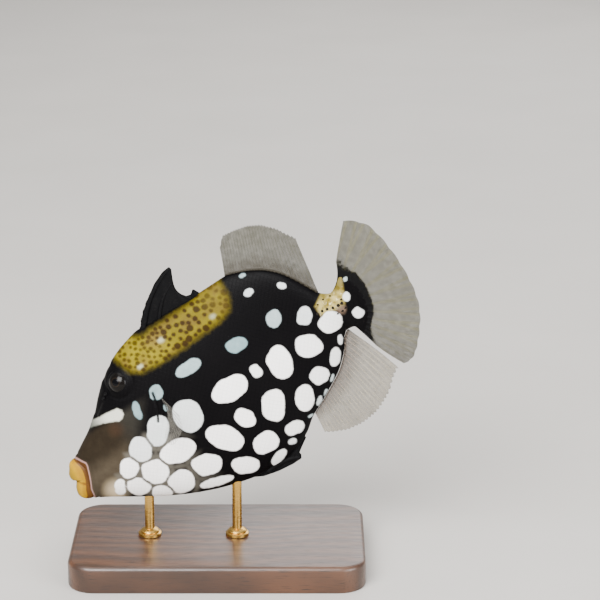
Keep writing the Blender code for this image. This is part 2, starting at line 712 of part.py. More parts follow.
def first_dorsal_fin():
    fin = plate("first_dorsal_fin", FIRST_DORSAL_SKIN, MEMBRANE / 2)
    boolean(fin, [spine(*shape) for shape in SPINES], "UNION")
    return keep_largest(boolean(fin, [body_loft("clearance", GAP)], "DIFFERENCE"))


# The flap of the belly: a rough stub of spine with a fold of skin behind it
FLAP_SKIN = [(36.6, -26.2), (40.0, -28.2), (44.0, -29.1), (48.0, -29.5), (50.8, -29.4),
             (51.3, -28.6), (51.2, -27.8), (52.6, -26.8), (54.8, -25.5), (53.5, -24.0),
             (42.0, -25.0)]
FLAP_SPINE = ((41.5, -27.7), (50.6, -28.9), 0.9, 0.8)
FLAP_HALF = 0.45             # half the fold's thickness


def pelvic_flap():
    flap = plate("pelvic_flap", FLAP_SKIN, FLAP_HALF)
    boolean(flap, [spine(*FLAP_SPINE)], "UNION")
    return keep_largest(boolean(flap, [body_loft("clearance", GAP)], "DIFFERENCE"))


def stand_base():
    """The plinth: a rounded block with softened top edges and a seat for each rod."""
    verts, faces = [], []
    levels = [(0.0, 0.0), (BASE_THICKNESS - BASE_CHAMFER, 0.0), (BASE_THICKNESS, BASE_CHAMFER)]
    for z, inset in levels:
        for quarter in range(4):
            cx = (BASE_LENGTH / 2 - BASE_CORNER) * (1 if quarter in (0, 3) else -1)
            cy = (BASE_WIDTH / 2 - BASE_CORNER) * (1 if quarter in (0, 1) else -1)
            for k in range(CORNER_STEPS + 1):
                a = math.radians(90 * quarter + 90 * k / CORNER_STEPS)
                r = BASE_CORNER - inset
                verts.append((cx + r * math.cos(a), cy + r * math.sin(a), z))
    count = 4 * (CORNER_STEPS + 1)
    for level in range(len(levels) - 1):
        for k in range(count):
            a, b = level * count + k, level * count + (k + 1) % count
            faces.append((a, b, b + count, a + count))
    top = (len(levels) - 1) * count
    faces.append(tuple(reversed(range(count))))
    faces.append(tuple(range(top, top + count)))
    base = face_out(new_object("stand_base", verts, faces))
    seats = []
    for station in ROD_STATIONS.values():
        x, _, _ = rod_top(station)
        low = (x, 0.0, BASE_THICKNESS - ROD_SEAT - GAP)
        high = (x, 0.0, BASE_THICKNESS + 2.0)
        seats.append(cylinder("seat", low, high, ROD_RADIUS + GAP, ROD_HOLE_SIDES))
    return keep_largest(boolean(base, seats, "DIFFERENCE"))


def stand_rod(name, station):
    """A turned rod with a collar that sits on the base."""
    x, _, top = rod_top(station)
    seat = BASE_THICKNESS - ROD_SEAT
    foot = BASE_THICKNESS + GAP
    profile = [(0.0, seat), (ROD_RADIUS, seat), (ROD_RADIUS, foot), (COLLAR_RADIUS, foot),
               (COLLAR_RADIUS, foot + 0.6 * COLLAR_HEIGHT), (COLLAR_TOP_RADIUS, foot + COLLAR_HEIGHT),
               (ROD_RADIUS, foot + COLLAR_HEIGHT), (ROD_RADIUS, top - 0.4), (ROD_RADIUS - 0.4, top),
               (0.0, top)]
    verts, faces = [], []
    for r, z in profile[1:-1]:
        for k in range(ROD_SIDES):
            a = 2 * math.pi * k / ROD_SIDES
            verts.append((x + r * math.cos(a), r * math.sin(a), z))
    for i in range(len(profile) - 3):
        for k in range(ROD_SIDES):
            a, b = i * ROD_SIDES + k, i * ROD_SIDES + (k + 1) % ROD_SIDES
            faces.append((a, b, b + ROD_SIDES, a + ROD_SIDES))
    last = (len(profile) - 3) * ROD_SIDES
    faces.append(tuple(reversed(range(ROD_SIDES))))
    faces.append(tuple(range(last, last + ROD_SIDES)))
    return face_out(new_object(name, verts, faces))


def material(look):
    name, colour, roughness = look
    found = bpy.data.materials.get(name)
    if found is None:
        found = bpy.data.materials.new(name)
        found.use_nodes = True
        shader = found.node_tree.nodes["Principled BSDF"]
        shader.inputs["Base Color"].default_value = colour
        shader.inputs["Roughness"].default_value = roughness
        shader.inputs["Metallic"].default_value = 1.0 if name == "brass" else 0.0
    return found


def finish_piece(piece, look, in_fish, holder=None):
    """Turns millimetres to metres, smooths the shading, gives the finish and sets the parent."""
    mesh = piece.data
    co = np.array([v.co for v in mesh.vertices])
    co = put_down(co) if in_fish else co * MM
    mesh.vertices.foreach_set("co", co.astype(np.float32).ravel())
    mesh.update()
    mesh.materials.clear()
    mesh.materials.append(material(look))
    mesh.shade_smooth()
    mesh.set_sharp_from_angle(angle=math.radians(40))
    if holder is not None:
        piece.parent = holder


def main():
    clear_scene()
    fish = bpy.data.objects.new("fish", None)
    bpy.context.scene.collection.objects.link(fish)
    fish.location = (-FISH_CENTRE * MM, 0.0, SNOUT_HEIGHT * MM)
    fish.rotation_euler = (0.0, -math.radians(NOSE_DOWN), 0.0)
    fleshy = [build_head(), build_trunk(), build_peduncle()]
    for piece in fleshy:
        finish_piece(piece, BLACK_SKIN, True, fish)
    for name, below in (("upper_lip", False), ("lower_lip", True)):
        finish_piece(lip(name, below), ORANGE_LIP, True, fish)
    for name, hand in (("eye_left", -1), ("eye_right", 1)):
        finish_piece(eye_ball(name, hand), DARK_EYE, True, fish)
    for name, hand in (("pectoral_fin_left", -1), ("pectoral_fin_right", 1)):
        finish_piece(pectoral_fin(name, hand), CLEAR_FIN, True, fish)
    dorsal = soft_fin("second_dorsal_fin", DORSAL_RAYS, DORSAL_BASE, DORSAL_LENGTH,
                      DORSAL_ANGLES, back, 0.3)
    anal = soft_fin("anal_fin", ANAL_RAYS, ANAL_BASE, ANAL_LENGTH, ANAL_ANGLES, belly, 2.2)
    for piece in (dorsal, anal, caudal_fin()):
        finish_piece(piece, CLEAR_FIN, True, fish)
    for piece in (first_dorsal_fin(), pelvic_flap()):
        finish_piece(piece, BLACK_SKIN, True, fish)
    finish_piece(stand_base(), WALNUT, False)
    for name, station in ROD_STATIONS.items():
        finish_piece(stand_rod("stand_rod_" + name, station), BRASS, False)
    bpy.context.view_layer.update()


main()
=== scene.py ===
import math

import bmesh
import bpy
import numpy as np
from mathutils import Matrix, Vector


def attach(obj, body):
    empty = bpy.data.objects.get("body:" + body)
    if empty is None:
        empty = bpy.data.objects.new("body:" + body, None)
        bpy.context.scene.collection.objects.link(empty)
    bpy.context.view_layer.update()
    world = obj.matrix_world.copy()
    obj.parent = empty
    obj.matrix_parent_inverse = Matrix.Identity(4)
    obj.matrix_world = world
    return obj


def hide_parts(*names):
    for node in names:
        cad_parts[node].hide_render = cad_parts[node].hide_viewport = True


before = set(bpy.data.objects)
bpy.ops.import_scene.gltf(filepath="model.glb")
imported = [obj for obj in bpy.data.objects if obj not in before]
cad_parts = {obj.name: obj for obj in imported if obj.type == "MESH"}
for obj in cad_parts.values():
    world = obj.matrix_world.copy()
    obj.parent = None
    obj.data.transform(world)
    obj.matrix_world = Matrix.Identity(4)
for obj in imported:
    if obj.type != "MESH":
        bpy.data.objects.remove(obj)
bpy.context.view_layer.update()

# The fish is drawn in its own frame, in millimetres, as the solids are: s runs from the snout to
# the tail, y across (the left side is negative) and h up. put_down() bends the tail to the left,
# tips the nose down over the stand and gives metres.
MM = 0.001
STANDARD_LENGTH = 84.0
NOSE_DOWN = 33.3
TAIL_BEND = 24.0
BEND_START = 60.0
BEND_END = STANDARD_LENGTH
SNOUT_HEIGHT = 25.0
FISH_CENTRE = 37.0

EYE_STATION, EYE_HEIGHT = 24.0, 14.8
EYE_RADIUS = 3.0
EYE_DEPTH_RADIUS = 2.4
EYE_SINK = 1.1
EYE_RIM = 0.55
NOSTRILS = [(18.0, 12.9), (19.2, 13.6)]
GILL_LINE = [(30.4, 8.3), (30.0, 6.6), (29.3, 4.8), (28.4, 3.0), (27.4, 1.2)]

BASE_LENGTH, BASE_WIDTH, BASE_THICKNESS = 76.0, 44.0, 7.0
BASE_CORNER = 7.0
BASE_CHAMFER = 1.2
ROD_RADIUS = 1.25
ROD_SOCKET = 5.0
ROD_SEAT = 4.0
COLLAR_RADIUS = 3.0
ROD_STATIONS = {"front": 12.0, "rear": 33.0}

BACK_LINE = [
    (-3, 0.2), (3, 3.5), (6, 5.25), (9, 7), (13, 10.1), (17, 13.8), (21, 17.2), (25, 19.5),
    (30, 21.4), (36, 22.6), (45, 22.4), (53, 22.1), (61, 22.2), (65, 21.1), (70, 18.8), (74, 15.4),
    (76, 12.6), (78, 9.2), (80, 6), (82.5, 4.9), (88, 5.3),
]
BELLY_LINE = [
    (-3, -7.2), (0.5, -9.3), (4, -11.3), (8, -13.9), (16, -18.9), (24, -22.9), (32, -25.7),
    (40, -27.3), (47, -27.4), (52, -26.2), (56, -24.2), (60, -21.2), (64, -19.2), (68, -16.9),
    (72, -14.4), (75, -11.8), (77, -9.6), (79, -6.8), (81, -5.5), (88, -5.8),
]
HALF_WIDTH = [(-3, 2.3), (0, 3.1), (4, 4.3), (10, 5.9), (18, 7.2), (26, 8), (34, 8.3), (42, 8.1),
              (50, 7.3), (58, 6.1), (66, 4.7), (74, 3.3), (80, 2.5), (88, 2.3)]
WIDEST_LEVEL = [(-3, -3), (5, -3.2), (15, -1), (25, 0.5), (35, 0.5), (50, -1), (65, -1), (75, -0.5),
                (88, -0.3)]
UPPER_SECTION = [(-3, 2), (20, 1.8), (40, 1.75), (65, 1.8), (82, 2)]
LOWER_SECTION = [(-3, 2), (15, 1.7), (40, 1.6), (65, 1.7), (82, 2)]

# The mouth's plane: a point of it (s, h) and its lean from upright. It bends rearward at the
# sides, by LIP_BACK's (level, distance) at the lips' full width
MOUTH_S, MOUTH_H, MOUTH_LEAN = 1.06, -3.03, math.radians(9.4)
LIP_HALF_WIDTH = 3.3
LIP_BACK = [(-6, 0), (-3, 0.25), (0, 1), (2, 1.45), (4, 1.75), (6, 1.4)]
TAIL_STATION = STANDARD_LENGTH - 1.0

DORSAL_RAYS, ANAL_RAYS, CAUDAL_RAYS, PECTORAL_RAYS = 26, 24, 12, 13


def in_scene(name, data):
    """A new object, in the scene."""
    made = bpy.data.objects.new(name, data)
    bpy.context.scene.collection.objects.link(made)
    return made


# Camera, at the photograph's angle
camera = bpy.data.cameras.new("camera")
camera.lens = 140.4
camera.sensor_width = 36.0
camera.clip_start = 0.01
camera_object = in_scene("camera", camera)
camera_object.location = (0.0212, -0.5662, 0.2440)
camera_object.rotation_euler = (math.radians(90 - 16.99), 0.0, 0.0)
bpy.context.scene.camera = camera_object


# Form functions

def smooth(points, x):
    """A smooth line through the points, read at x, with slopes that keep it from overshooting."""
    px, py = np.array(points, float).T
    step = np.diff(px)
    rise = np.diff(py) / step
    a, b = 2 * step[1:] + step[:-1], step[1:] + 2 * step[:-1]
    both = np.maximum(rise[:-1] * rise[1:], 0.0)
    mean = (a + b) * both / (a * rise[1:] + b * rise[:-1] + 1e-30)
    slope = np.concatenate([rise[:1], mean, rise[-1:]])
    x = np.clip(np.asarray(x, float), px[0], px[-1])
    k = np.clip(np.searchsorted(px, x, side="right") - 1, 0, len(step) - 1)
    t = (x - px[k]) / step[k]
    t2, t3 = t * t, t * t * t
    return ((2 * t3 - 3 * t2 + 1) * py[k] + (t3 - 2 * t2 + t) * step[k] * slope[k]
            + (3 * t2 - 2 * t3) * py[k + 1] + (t3 - t2) * step[k] * slope[k + 1])


def back(s):
    return smooth(BACK_LINE, s)


def belly(s):
    return smooth(BELLY_LINE, s)


def eye_swelling(s, h):
    distance = np.hypot(np.asarray(s) - EYE_STATION, np.asarray(h) - EYE_HEIGHT)
    return EYE_RIM * np.exp(-((distance / (1.15 * EYE_RADIUS)) ** 4))


def side(s, h):
    """Half the body's width at station s and height h, with the swelling round the eye."""
    s, h = np.asarray(s, float), np.asarray(h, float)
    level = smooth(WIDEST_LEVEL, s)
    upper = h > level
    reach = np.where(upper, back(s) - level, level - belly(s))
    power = np.where(upper, smooth(UPPER_SECTION, s), smooth(LOWER_SECTION, s))
    t = np.clip(np.abs(h - level) / reach, 0.0, 1.0)
    half = smooth(HALF_WIDTH, s) * (1 - t**power) ** (1 / power)
    return half + eye_swelling(s, h) * np.minimum(1.0, half / 0.3)


def run(pair, share):
    """From the pair's first value to its second."""
    return pair[0] + (pair[1] - pair[0]) * share


def unit(vectors):
    return vectors / np.linalg.norm(vectors, axis=-1, keepdims=True)


def side_normal(s, h):
    """The left side's outward normal, as (s, y, h)."""
    d = 0.2
    ds = (side(s + d, h) - side(s - d, h)) / (2 * d)
    dh = (side(s, h + d) - side(s, h - d)) / (2 * d)
    return unit(np.array([-float(ds), -1.0, -float(dh)]))


def bend(co):
    """The straight fish's points with the tail bent to the left, still in millimetres."""
    co = np.asarray(co, float)
    s, y, h = co[..., 0], co[..., 1], co[..., 2]
    radius = (BEND_END - BEND_START) / math.radians(TAIL_BEND)
    turn = np.clip((s - BEND_START) / radius, 0.0, math.radians(TAIL_BEND))
    past = np.maximum(s - BEND_END, 0.0)
    along = np.minimum(s, BEND_START) + radius * np.sin(turn) + past * np.cos(turn)
    across = -radius * (1 - np.cos(turn)) - past * np.sin(turn)
    return np.stack([along + y * np.sin(turn), across + y * np.cos(turn), h], -1)


def put_down(co):
    """Fish millimetres to the stand's frame in metres."""
    s, y, h = np.moveaxis(bend(co), -1, 0)
    a = math.radians(NOSE_DOWN)
    x = s * math.cos(a) - h * math.sin(a) - FISH_CENTRE
    z = s * math.sin(a) + h * math.cos(a) + SNOUT_HEIGHT
    return np.stack([x, y, z], -1) * MM


# Mesh helpers

def new_object(name, verts, faces, smooth_angle=None):
    """A piece from points in metres."""
    mesh = bpy.data.meshes.new(name)
    mesh.from_pydata(np.asarray(verts, float).tolist(), [], faces)
    bm = bmesh.new()
    bm.from_mesh(mesh)
    bmesh.ops.recalc_face_normals(bm, faces=bm.faces)
    bm.to_mesh(mesh)
    bm.free()
    mesh.shade_smooth()
    if smooth_angle is not None:
        mesh.set_sharp_from_angle(angle=math.radians(smooth_angle))
    found = in_scene(name, mesh)
    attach(found, "root")
    return found


def give(piece, **values):
    """Per-point values of a piece, each read in its material by name."""
    for name, value in values.items():
        value = np.asarray(value, np.float32)
        kind = "FLOAT_VECTOR" if value.ndim == 2 else "FLOAT"
        layer = piece.data.attributes.new(name, kind, "POINT")
        layer.data.foreach_set("vector" if value.ndim == 2 else "value", value.ravel())


def tube_faces(rings, around, first=0, close=True):
    """Quads between rings of points, each ring closed."""
    i, k = np.meshgrid(np.arange(rings - 1), np.arange(around), indexing="ij")
    a = first + i * around + k
    b = first + i * around + (k + 1) % around
    faces = np.stack([a, b, b + around, a + around], -1).reshape(-1, 4).tolist()
    if close:
        faces.append(list(range(first, first + around)))
        last = first + (rings - 1) * around
        faces.append(list(range(last, last + around)))
    return faces


def sheet_faces(columns, rows):
    """Faces of a closed sheet: two like grids of points, and the border between them."""
    i, j = np.meshgrid(np.arange(columns - 1), np.arange(rows - 1), indexing="ij")
    a = i * rows + j
    b = a + rows
    count = columns * rows
    front = np.stack([a, a + 1, b + 1, b], -1).reshape(-1, 4)
    faces = front.tolist() + (front[:, ::-1] + count).tolist()
    border = [k * rows for k in range(columns)]
    border += [(columns - 1) * rows + k for k in range(1, rows)]
    border += [k * rows + rows - 1 for k in range(columns - 2, -1, -1)]
    border += list(range(rows - 2, 0, -1))
    for p, q in zip(border, border[1:] + border[:1]):
        faces.append([p, count + p, count + q, q])
    return faces


def skin_point(s, h):
    return np.array([s, -float(side(s, h)), h])


def axes_at(s, h):
    """The left side's outward normal at a point, and two ways across it."""
    n = side_normal(s, h)
    first = unit(np.cross(n, [0.0, 0.0, 1.0]))
    return n, first, np.cross(n, first)


def turned(profile, centre, first, second, axis, around):
    """Points of a turned shape round an axis, from (radius, height) points."""
    a = np.linspace(0, math.tau, around, endpoint=False)[None, :, None]
    r, z = np.array(profile, float).T[..., None, None]
    return (centre + r * (np.cos(a) * first + np.sin(a) * second) + z * axis).reshape(-1, 3)


def on_both_sides(name, profile, around, places):
    """A piece of like turned shapes at places of the left side, repeated on the right."""
    left = np.concatenate([turned(profile, *place, around) for place in places])
    faces = []
    for number in range(2 * len(places)):
        faces += tube_faces(len(profile), around, number * len(profile) * around)
    return new_object(name, put_down([*left, *left * (1, -1, 1)]), faces)


def ease(x, low, high):
    """0 at low, 1 at high, with soft ends."""
    t = np.clip((np.asarray(x, float) - low) / (high - low), 0.0, 1.0)
    return t * t * (3 - 2 * t)


def hump(distance, width):
    """1 at no distance, fading to 0 past the width."""
    return np.exp(-((distance / width) ** 2))


def shares(columns, rows):
    """Shares from 0 to 1 along and across a grid."""
    return np.meshgrid(np.linspace(0, 1, columns), np.linspace(0, 1, rows), indexing="ij")


# Materials

class Looks:
    """A procedural material and short ways to add its nodes."""

    def __init__(self, name, **settings):
        self.made = bpy.data.materials.new(name)
        self.made.use_nodes = True
        self.tree = self.made.node_tree
        self.shader = self.tree.nodes["Principled BSDF"]
        for socket, value in settings.items():
            self.set(socket.replace("_", " "), value)
        self.here = self.place()

    def node(self, kind, inputs, **settings):
        """The outputs of a new node."""
        made = self.tree.nodes.new("ShaderNode" + kind)
        for name, value in settings.items():
            setattr(made, name, value)
        for name, value in inputs.items():
            self.put(made.inputs[name], value)
        return made.outputs

    def put(self, socket, value):
        if isinstance(value, bpy.types.NodeSocket):
            self.tree.links.new(value, socket)
        else:
            socket.default_value = value

    def set(self, name, value):
        self.put(self.shader.inputs[name], value)

    def value(self, name, output="Fac"):
        return self.node("Attribute", {}, attribute_name=name)[output]

    def parts(self, name):
        """A vector attribute's first and second value."""
        return self.node("SeparateXYZ", {0: self.value(name, "Vector")})[:2]

    def away(self, *point):
        """Distance from a point, as its seen s and h and its way from the midplane."""
        both = {0: self.value("seen", "Vector"), 1: point}
        return self.node("VectorMath", both, operation="DISTANCE")["Value"]

    def math(self, operation, *values):
        return self.node("Math", dict(enumerate(values)), operation=operation)[0]

    def times(self, *values):
        """The first value times the second, plus the third where there is one."""
        return self.math("MULTIPLY" if len(values) == 2 else "MULTIPLY_ADD", *values)

    def place(self, *stretch):
        """The point's place in millimetres, stretched along each axis where that is asked for."""
        scale = tuple(1000.0 * x for x in stretch or (1.0, 1.0, 1.0))
        where = self.node("TexCoord", {})["Object"]
        return self.node("VectorMath", {0: where, 1: scale}, operation="MULTIPLY")[0]

    def noise(self, size, detail=3.0, rough=0.5, place=None):
        """Noise from 0 to 1 whose lumps are about size millimetres."""
        return self.node("TexNoise", {"Vector": place or self.here, "Scale": 1.0 / size,
                                      "Detail": detail, "Roughness": rough})["Fac"]

    def between(self, value, low, high, to_low=0.0, to_high=1.0):
        """The value's way from low to high, with soft ends."""
        return self.node("MapRange", {"Value": value, "From Min": low, "From Max": high,
                                      "To Min": to_low, "To Max": to_high},
                         interpolation_type="SMOOTHSTEP")["Result"]

    def mix(self, share, a, b):
        """A share of b over a. Three numbers are an sRGB colour of 0 to 255."""
        a, b = (tone(*c) if isinstance(c, tuple) and len(c) == 3 else c for c in (a, b))
        return self.node("Mix", {0: share, 6: a, 7: b}, data_type="RGBA")[2]

    def mottled(self, size, a, b, detail=3.0):
        """One colour running into another in lumps of about size millimetres."""
        return self.mix(self.noise(size, detail), a, b)

    def bump(self, height, deep, strength):
        """Relief of so many millimetres."""
        relief = {"Height": height, "Distance": deep * MM, "Strength": strength}
        self.set("Normal", self.node("Bump", relief)["Normal"])

    def wear(self, *pieces):
        for piece in pieces:
            piece.data.materials.clear()
            piece.data.materials.append(self.made)


def tone(r, g, b):
    """An sRGB colour of 0 to 255 as the shader's own values."""
    def line(v):
        v /= 255.0
        return v / 12.92 if v <= 0.04045 else ((v + 0.055) / 1.055) ** 2.4
    return (line(r), line(g), line(b), 1.0)


# Markings, as the left side shows them along the photograph's line of sight

VIEWER = (21.2, -566.2, 244.0)    # millimetres, on the left side and a little above


def seen(co):
    """Where a point of the skin shows against the fish's midplane, as (s, h), looked at from the
    left side and a little above. The right side is mirrored."""
    left = np.stack([co[..., 0], -np.abs(co[..., 1]), co[..., 2]], -1)
    x, y, z = np.moveaxis(put_down(left), -1, 0) / MM
    t = VIEWER[1] / (VIEWER[1] - y)
    x, z = VIEWER[0] + (x - VIEWER[0]) * t, VIEWER[2] + (z - VIEWER[2]) * t
    x, z, a = x + FISH_CENTRE, z - SNOUT_HEIGHT, math.radians(NOSE_DOWN)
    return x * math.cos(a) + z * math.sin(a), z * math.cos(a) - x * math.sin(a)


# Each white spot: its middle (s, h), half length, half width, the angle of its length, and how
# cool and dim its white is
SPOTS = [
    (22.6, 4.6, 2.7, 1.04, 74, 1), (29.5, 6, 2.04, 1.81, 52, 0.95), (40.2, 7, 3.72, 1.79, 0, 0.9),
    (53.8, 5.4, 2.91, 1.98, -10, 1), (65.6, 6, 2.46, 1.95, 48, 0.85), (64.1, 15.3, 1.4, 1, 0, 0.55),
    (72.1, 12.2, 1.2, 0.92, -48, 0.45), (65.3, 19.9, 0.9, 0.6, 0, 0.9),
    (72.5, 2.3, 2.6, 1.92, 45, 0.5), (12, -7.3, 2.95, 2.44, 57, 0),
    (17.4, -4.65, 3.55, 2.95, 57, 0.35), (24, -2.8, 4.36, 2.84, 51, 0.45),
    (32.78, -3.7, 4.5, 3.82, 90, 0.45), (45.8, -3.6, 4.98, 3.22, 1, 0),
    (54.1, -3.2, 1.87, 1.47, -85, 0.15), (60.5, -4.6, 4.5, 3.18, 77, 0.05),
    (69, -4.9, 3.54, 3.03, -40, 0.15), (77.15, -2.65, 3.18, 2.72, 0, 0.2),
    (76.7, -7.9, 1.35, 0.68, 60, 0.4), (7.1, -10.3, 2.23, 1.51, 53, 0),
    (11.2, -12.8, 3.19, 2.41, -38, 0), (17.1, -11.8, 3.58, 3.44, 0, 0),
    (25.2, -10.3, 4.75, 3.24, -6, 0), (37.4, -13.9, 4.84, 3.34, -58, 0),
    (44.7, -12.2, 3.05, 2.27, -71, 0), (52.7, -13.4, 4.64, 2.96, 56, 0.05),
    (60.5, -16.1, 3.71, 2.41, 56, 0.1), (67, -13.1, 2.48, 2.42, 0, 0.2),
    (73.1, -11.1, 2.68, 1.36, 52, 0.3), (69.3, -15.4, 1.1, 0.5, 38, 0.7),
    (15.3, -17.65, 2.67, 2.2, -43, 0), (21.3, -17.8, 3.54, 3.14, 0, 0),
    (29.4, -17.5, 4.07, 2.89, -20, 0), (37.6, -23.1, 3.71, 2.32, -29, 0),
    (45.5, -20.8, 3.52, 2.84, 0, 0.05), (53.9, -21.5, 2.74, 1.77, -3, 0.2),
    (63.3, -18.8, 1.45, 0.65, 38, 0.6), (65.9, -18, 1.15, 0.6, 50, 0.7),
    (28.8, -22.8, 4.5, 1.23, -16, 0.05), (46, -26, 2.77, 1.25, 18, 0.25),
    (51.4, -24.3, 1.19, 0.82, -12, 0.4), (59.1, -21, 0.8, 0.4, 0, 0.8),
    (84.2, 0.8, 1.33, 0.95, 57, 0.4), (84.4, -4.4, 1.5, 1.47, 0, 0.35),
    (86.4, 4.8, 0.56, 0.56, 0, 0.8), (29.1, 1.2, 0.95, 0.5, 75, 0.95),
]
SADDLE = [(25.3, 19.8), (26, 16.5), (27, 14), (29, 12.2), (34, 11.6), (42, 11.8), (50, 12.2),
          (55, 12.8), (58, 14.2), (59.5, 17), (60, 20.5), (59.6, 27), (54.2, 27), (53.2, 22.8),
          (50, 21.7), (44, 21.4), (38, 21.2), (35.2, 20.9), (33.6, 21.8), (32, 26.5), (25.5, 25)]
BAR = [(9, 7.6), (9.4, 9.4), (11.4, 8.9), (13.4, 8.5), (15.2, 8.4), (17.3, 8.1), (18.7, 7.9),
       (19.4, 7), (19.2, 5.8), (18.2, 4.9), (17, 4.9), (15.6, 5.7), (13.6, 6.5), (11.4, 7.1)]
SADDLE_DOTS = [
    (34, 18.8, 0.9), (35.3, 18.5, 0.8), (35, 20.1, 0.7), (37.6, 19.6, 0.9), (42.1, 18.8, 1),
    (42.7, 20.5, 0.8), (44, 18.2, 0.9), (45.6, 17.8, 0.9), (45.1, 20.2, 0.9), (44, 16.3, 0.8),
    (46.4, 15.6, 1.3), (42.9, 14.5, 0.8), (48, 18.6, 0.9), (47.9, 20.2, 0.8), (48.9, 17, 1),
    (50.6, 18.9, 1.3), (50.4, 20.6, 0.9), (52, 20.3, 0.8), (53.3, 19.8, 0.9), (55.6, 18.9, 0.7),
    (56.5, 16.7, 0.7), (49.2, 15.6, 0.9),
]
BLOTCHES = [(30, 14, 1.4), (38.5, 17, 1.5), (53, 15, 1.4)]
TAIL_SPOTS = (42, 43, 44)    # the spots that lie on the tail fin's black root
SPOT_GAP = 0.62     # the least width of the dark lines between spots
SPOT_TRIM = 0.06    # taken off each spot's edge
SPOT_POWER = 2.2    # how square a spot is, with 2 for an oval
DOT_SHARE = 0.72    # a dot's radius as a share of its size
MIDDLE_LINE = 0.55    # half the width of the dark line down the back and the belly


def spot_distance(x, y, spot, number):
    """Distance in millimetres to a spot's edge, below 0 inside. Each outline is its own."""
    s, h, long, wide, turn, _ = spot
    a = math.radians(turn)
    dx, dy = x - s, y - h
    along, across = dx * math.cos(a) + dy * math.sin(a), dy * math.cos(a) - dx * math.sin(a)
    way = np.arctan2(across, along)
    draw = np.random.default_rng(900 + number)
    rough = sum(draw.uniform(0.01, 0.035) * np.cos(n * way + draw.uniform(0, 6.28))
                for n in (2, 3, 4, 5))
    a2, b2 = long * (1 + rough), wide * (1 + rough)
    k = np.abs(along / a2) ** SPOT_POWER + np.abs(across / b2) ** SPOT_POWER
    k = k ** (1 / SPOT_POWER)
    slope = np.hypot(along / a2**2, across / b2**2)
    slope /= np.maximum(np.hypot(along / a2, across / b2), 1e-6)
    return (k - 1) / np.maximum(slope, 1e-6) + SPOT_TRIM


def line_distance(x, y, line):
    """Distance to an open line."""
    best = np.full(np.shape(x), 1e9)
    for (ax, ay), (bx, by) in zip(line, line[1:]):
        dx, dy = bx - ax, by - ay
        t = np.clip(((x - ax) * dx + (y - ay) * dy) / (dx**2 + dy**2), 0, 1)
        best = np.minimum(best, np.hypot(x - ax - t * dx, y - ay - t * dy))
    return best


def outline_distance(x, y, outline):
    """Distance to a closed outline, below 0 inside."""
    closed = outline + outline[:1]
    inside = np.zeros(np.shape(x), bool)
    for (ax, ay), (bx, by) in zip(closed, closed[1:]):
        if ay != by:
            inside ^= ((ay > y) != (by > y)) & (x < ax + (y - ay) * (bx - ax) / (by - ay))
    best = line_distance(x, y, closed)
    return np.where(inside, -best, best)


def saddle_dots():
    """The dots read off the photograph, and others scattered between them."""
    dots = list(SADDLE_DOTS)
    draw = np.random.default_rng(41)
    for _ in range(4000):
        s, h = draw.uniform(27.0, 59.0), draw.uniform(12.4, 22.5)
        size = draw.uniform(0.5, 0.9) if s < 40.0 else draw.uniform(0.65, 1.3)
        if outline_distance(np.array(s), np.array(h), SADDLE) > -0.7:
            continue
        if any(math.hypot(s - p, h - q) < 0.8 * r for p, q, r in BLOTCHES):
            continue
        near = 1.15 if s < 40.0 else 1.5
        if all(math.hypot(s - p, h - q) > near for p, q, _ in dots):
            dots.append((s, h, size))
    return dots


def markings(co):
    """The markings at each point of the skin, as distances in millimetres and shares."""
    x, y = seen(co)
    right = ease(co[..., 1], 0.2, 2.6)
    wx = x + right * (1.5 * np.sin(0.16 * y + 0.9) + 1.1 * np.sin(0.11 * x + 2.0))
    wy = y + right * (1.2 * np.sin(0.13 * x + 0.7) + 0.7 * np.sin(0.3 * y + 1.0))
    spot, second, dots = (np.full(x.shape, 99.0) for _ in range(3))
    tint, blotch = np.zeros(x.shape), np.zeros(x.shape)
    for number, each in enumerate(SPOTS):
        d = spot_distance(wx, wy, each, number)
        nearer = d < spot
        tint = np.where(nearer, each[5], tint)
        second = np.where(nearer, spot, np.minimum(second, d))
        spot = np.minimum(spot, d)
    spot = np.maximum(spot, 0.5 * (spot - second + SPOT_GAP))
    middle = MIDDLE_LINE - np.abs(co[..., 1])
    spot = np.where(co[..., 0] < 76, np.maximum(spot, middle), spot)
    for s, h, size in saddle_dots():
        dots = np.minimum(dots, np.hypot(wx - s, wy - h) - DOT_SHARE * size)
    for s, h, size in BLOTCHES:
        blotch = np.maximum(blotch, 1 - ease(np.hypot(wx - s, (wy - h) * 1.3), 0.2, size))
    packed = (1 - ease(second, 0.9, 2.2)) * (1 - ease(wx, 22.0, 33.0)) * (1 - ease(wy, -3.0, 0.0))
    return {"spot": spot, "tint": tint, "dots": dots, "packed": packed, "blotch": blotch,
            "saddle": outline_distance(wx, wy, SADDLE), "bar": outline_distance(wx, wy, BAR)}


# Skin

HALF_RING = 150    # steps round a half ring, from the back to the belly
# The rings' stations, as (first, end, step)
RING_STEPS = [(MOUTH_S, 5.0, 0.22), (5.0, 75.0, 0.345), (75.0, TAIL_STATION, 0.3)]
MOUTH_ROUND = 0.7


def mouth_level(s, h):
    """How far up the mouth's plane a point lies."""
    return (s - MOUTH_S) * math.sin(MOUTH_LEAN) + (h - MOUTH_H) * math.cos(MOUTH_LEAN)


def mouth_bow(level, y):
    """How far the mouth's plane bends rearward at a level, y off the middle."""
    return smooth(LIP_BACK, level) * np.minimum((y / LIP_HALF_WIDTH) ** 2, 1.2)


def mouth_depth(s, y, h):
    """How far a point lies behind the mouth's plane."""
    behind = (s - MOUTH_S) * math.cos(MOUTH_LEAN) - (h - MOUTH_H) * math.sin(MOUTH_LEAN)
    return behind - mouth_bow(mouth_level(s, h), y)


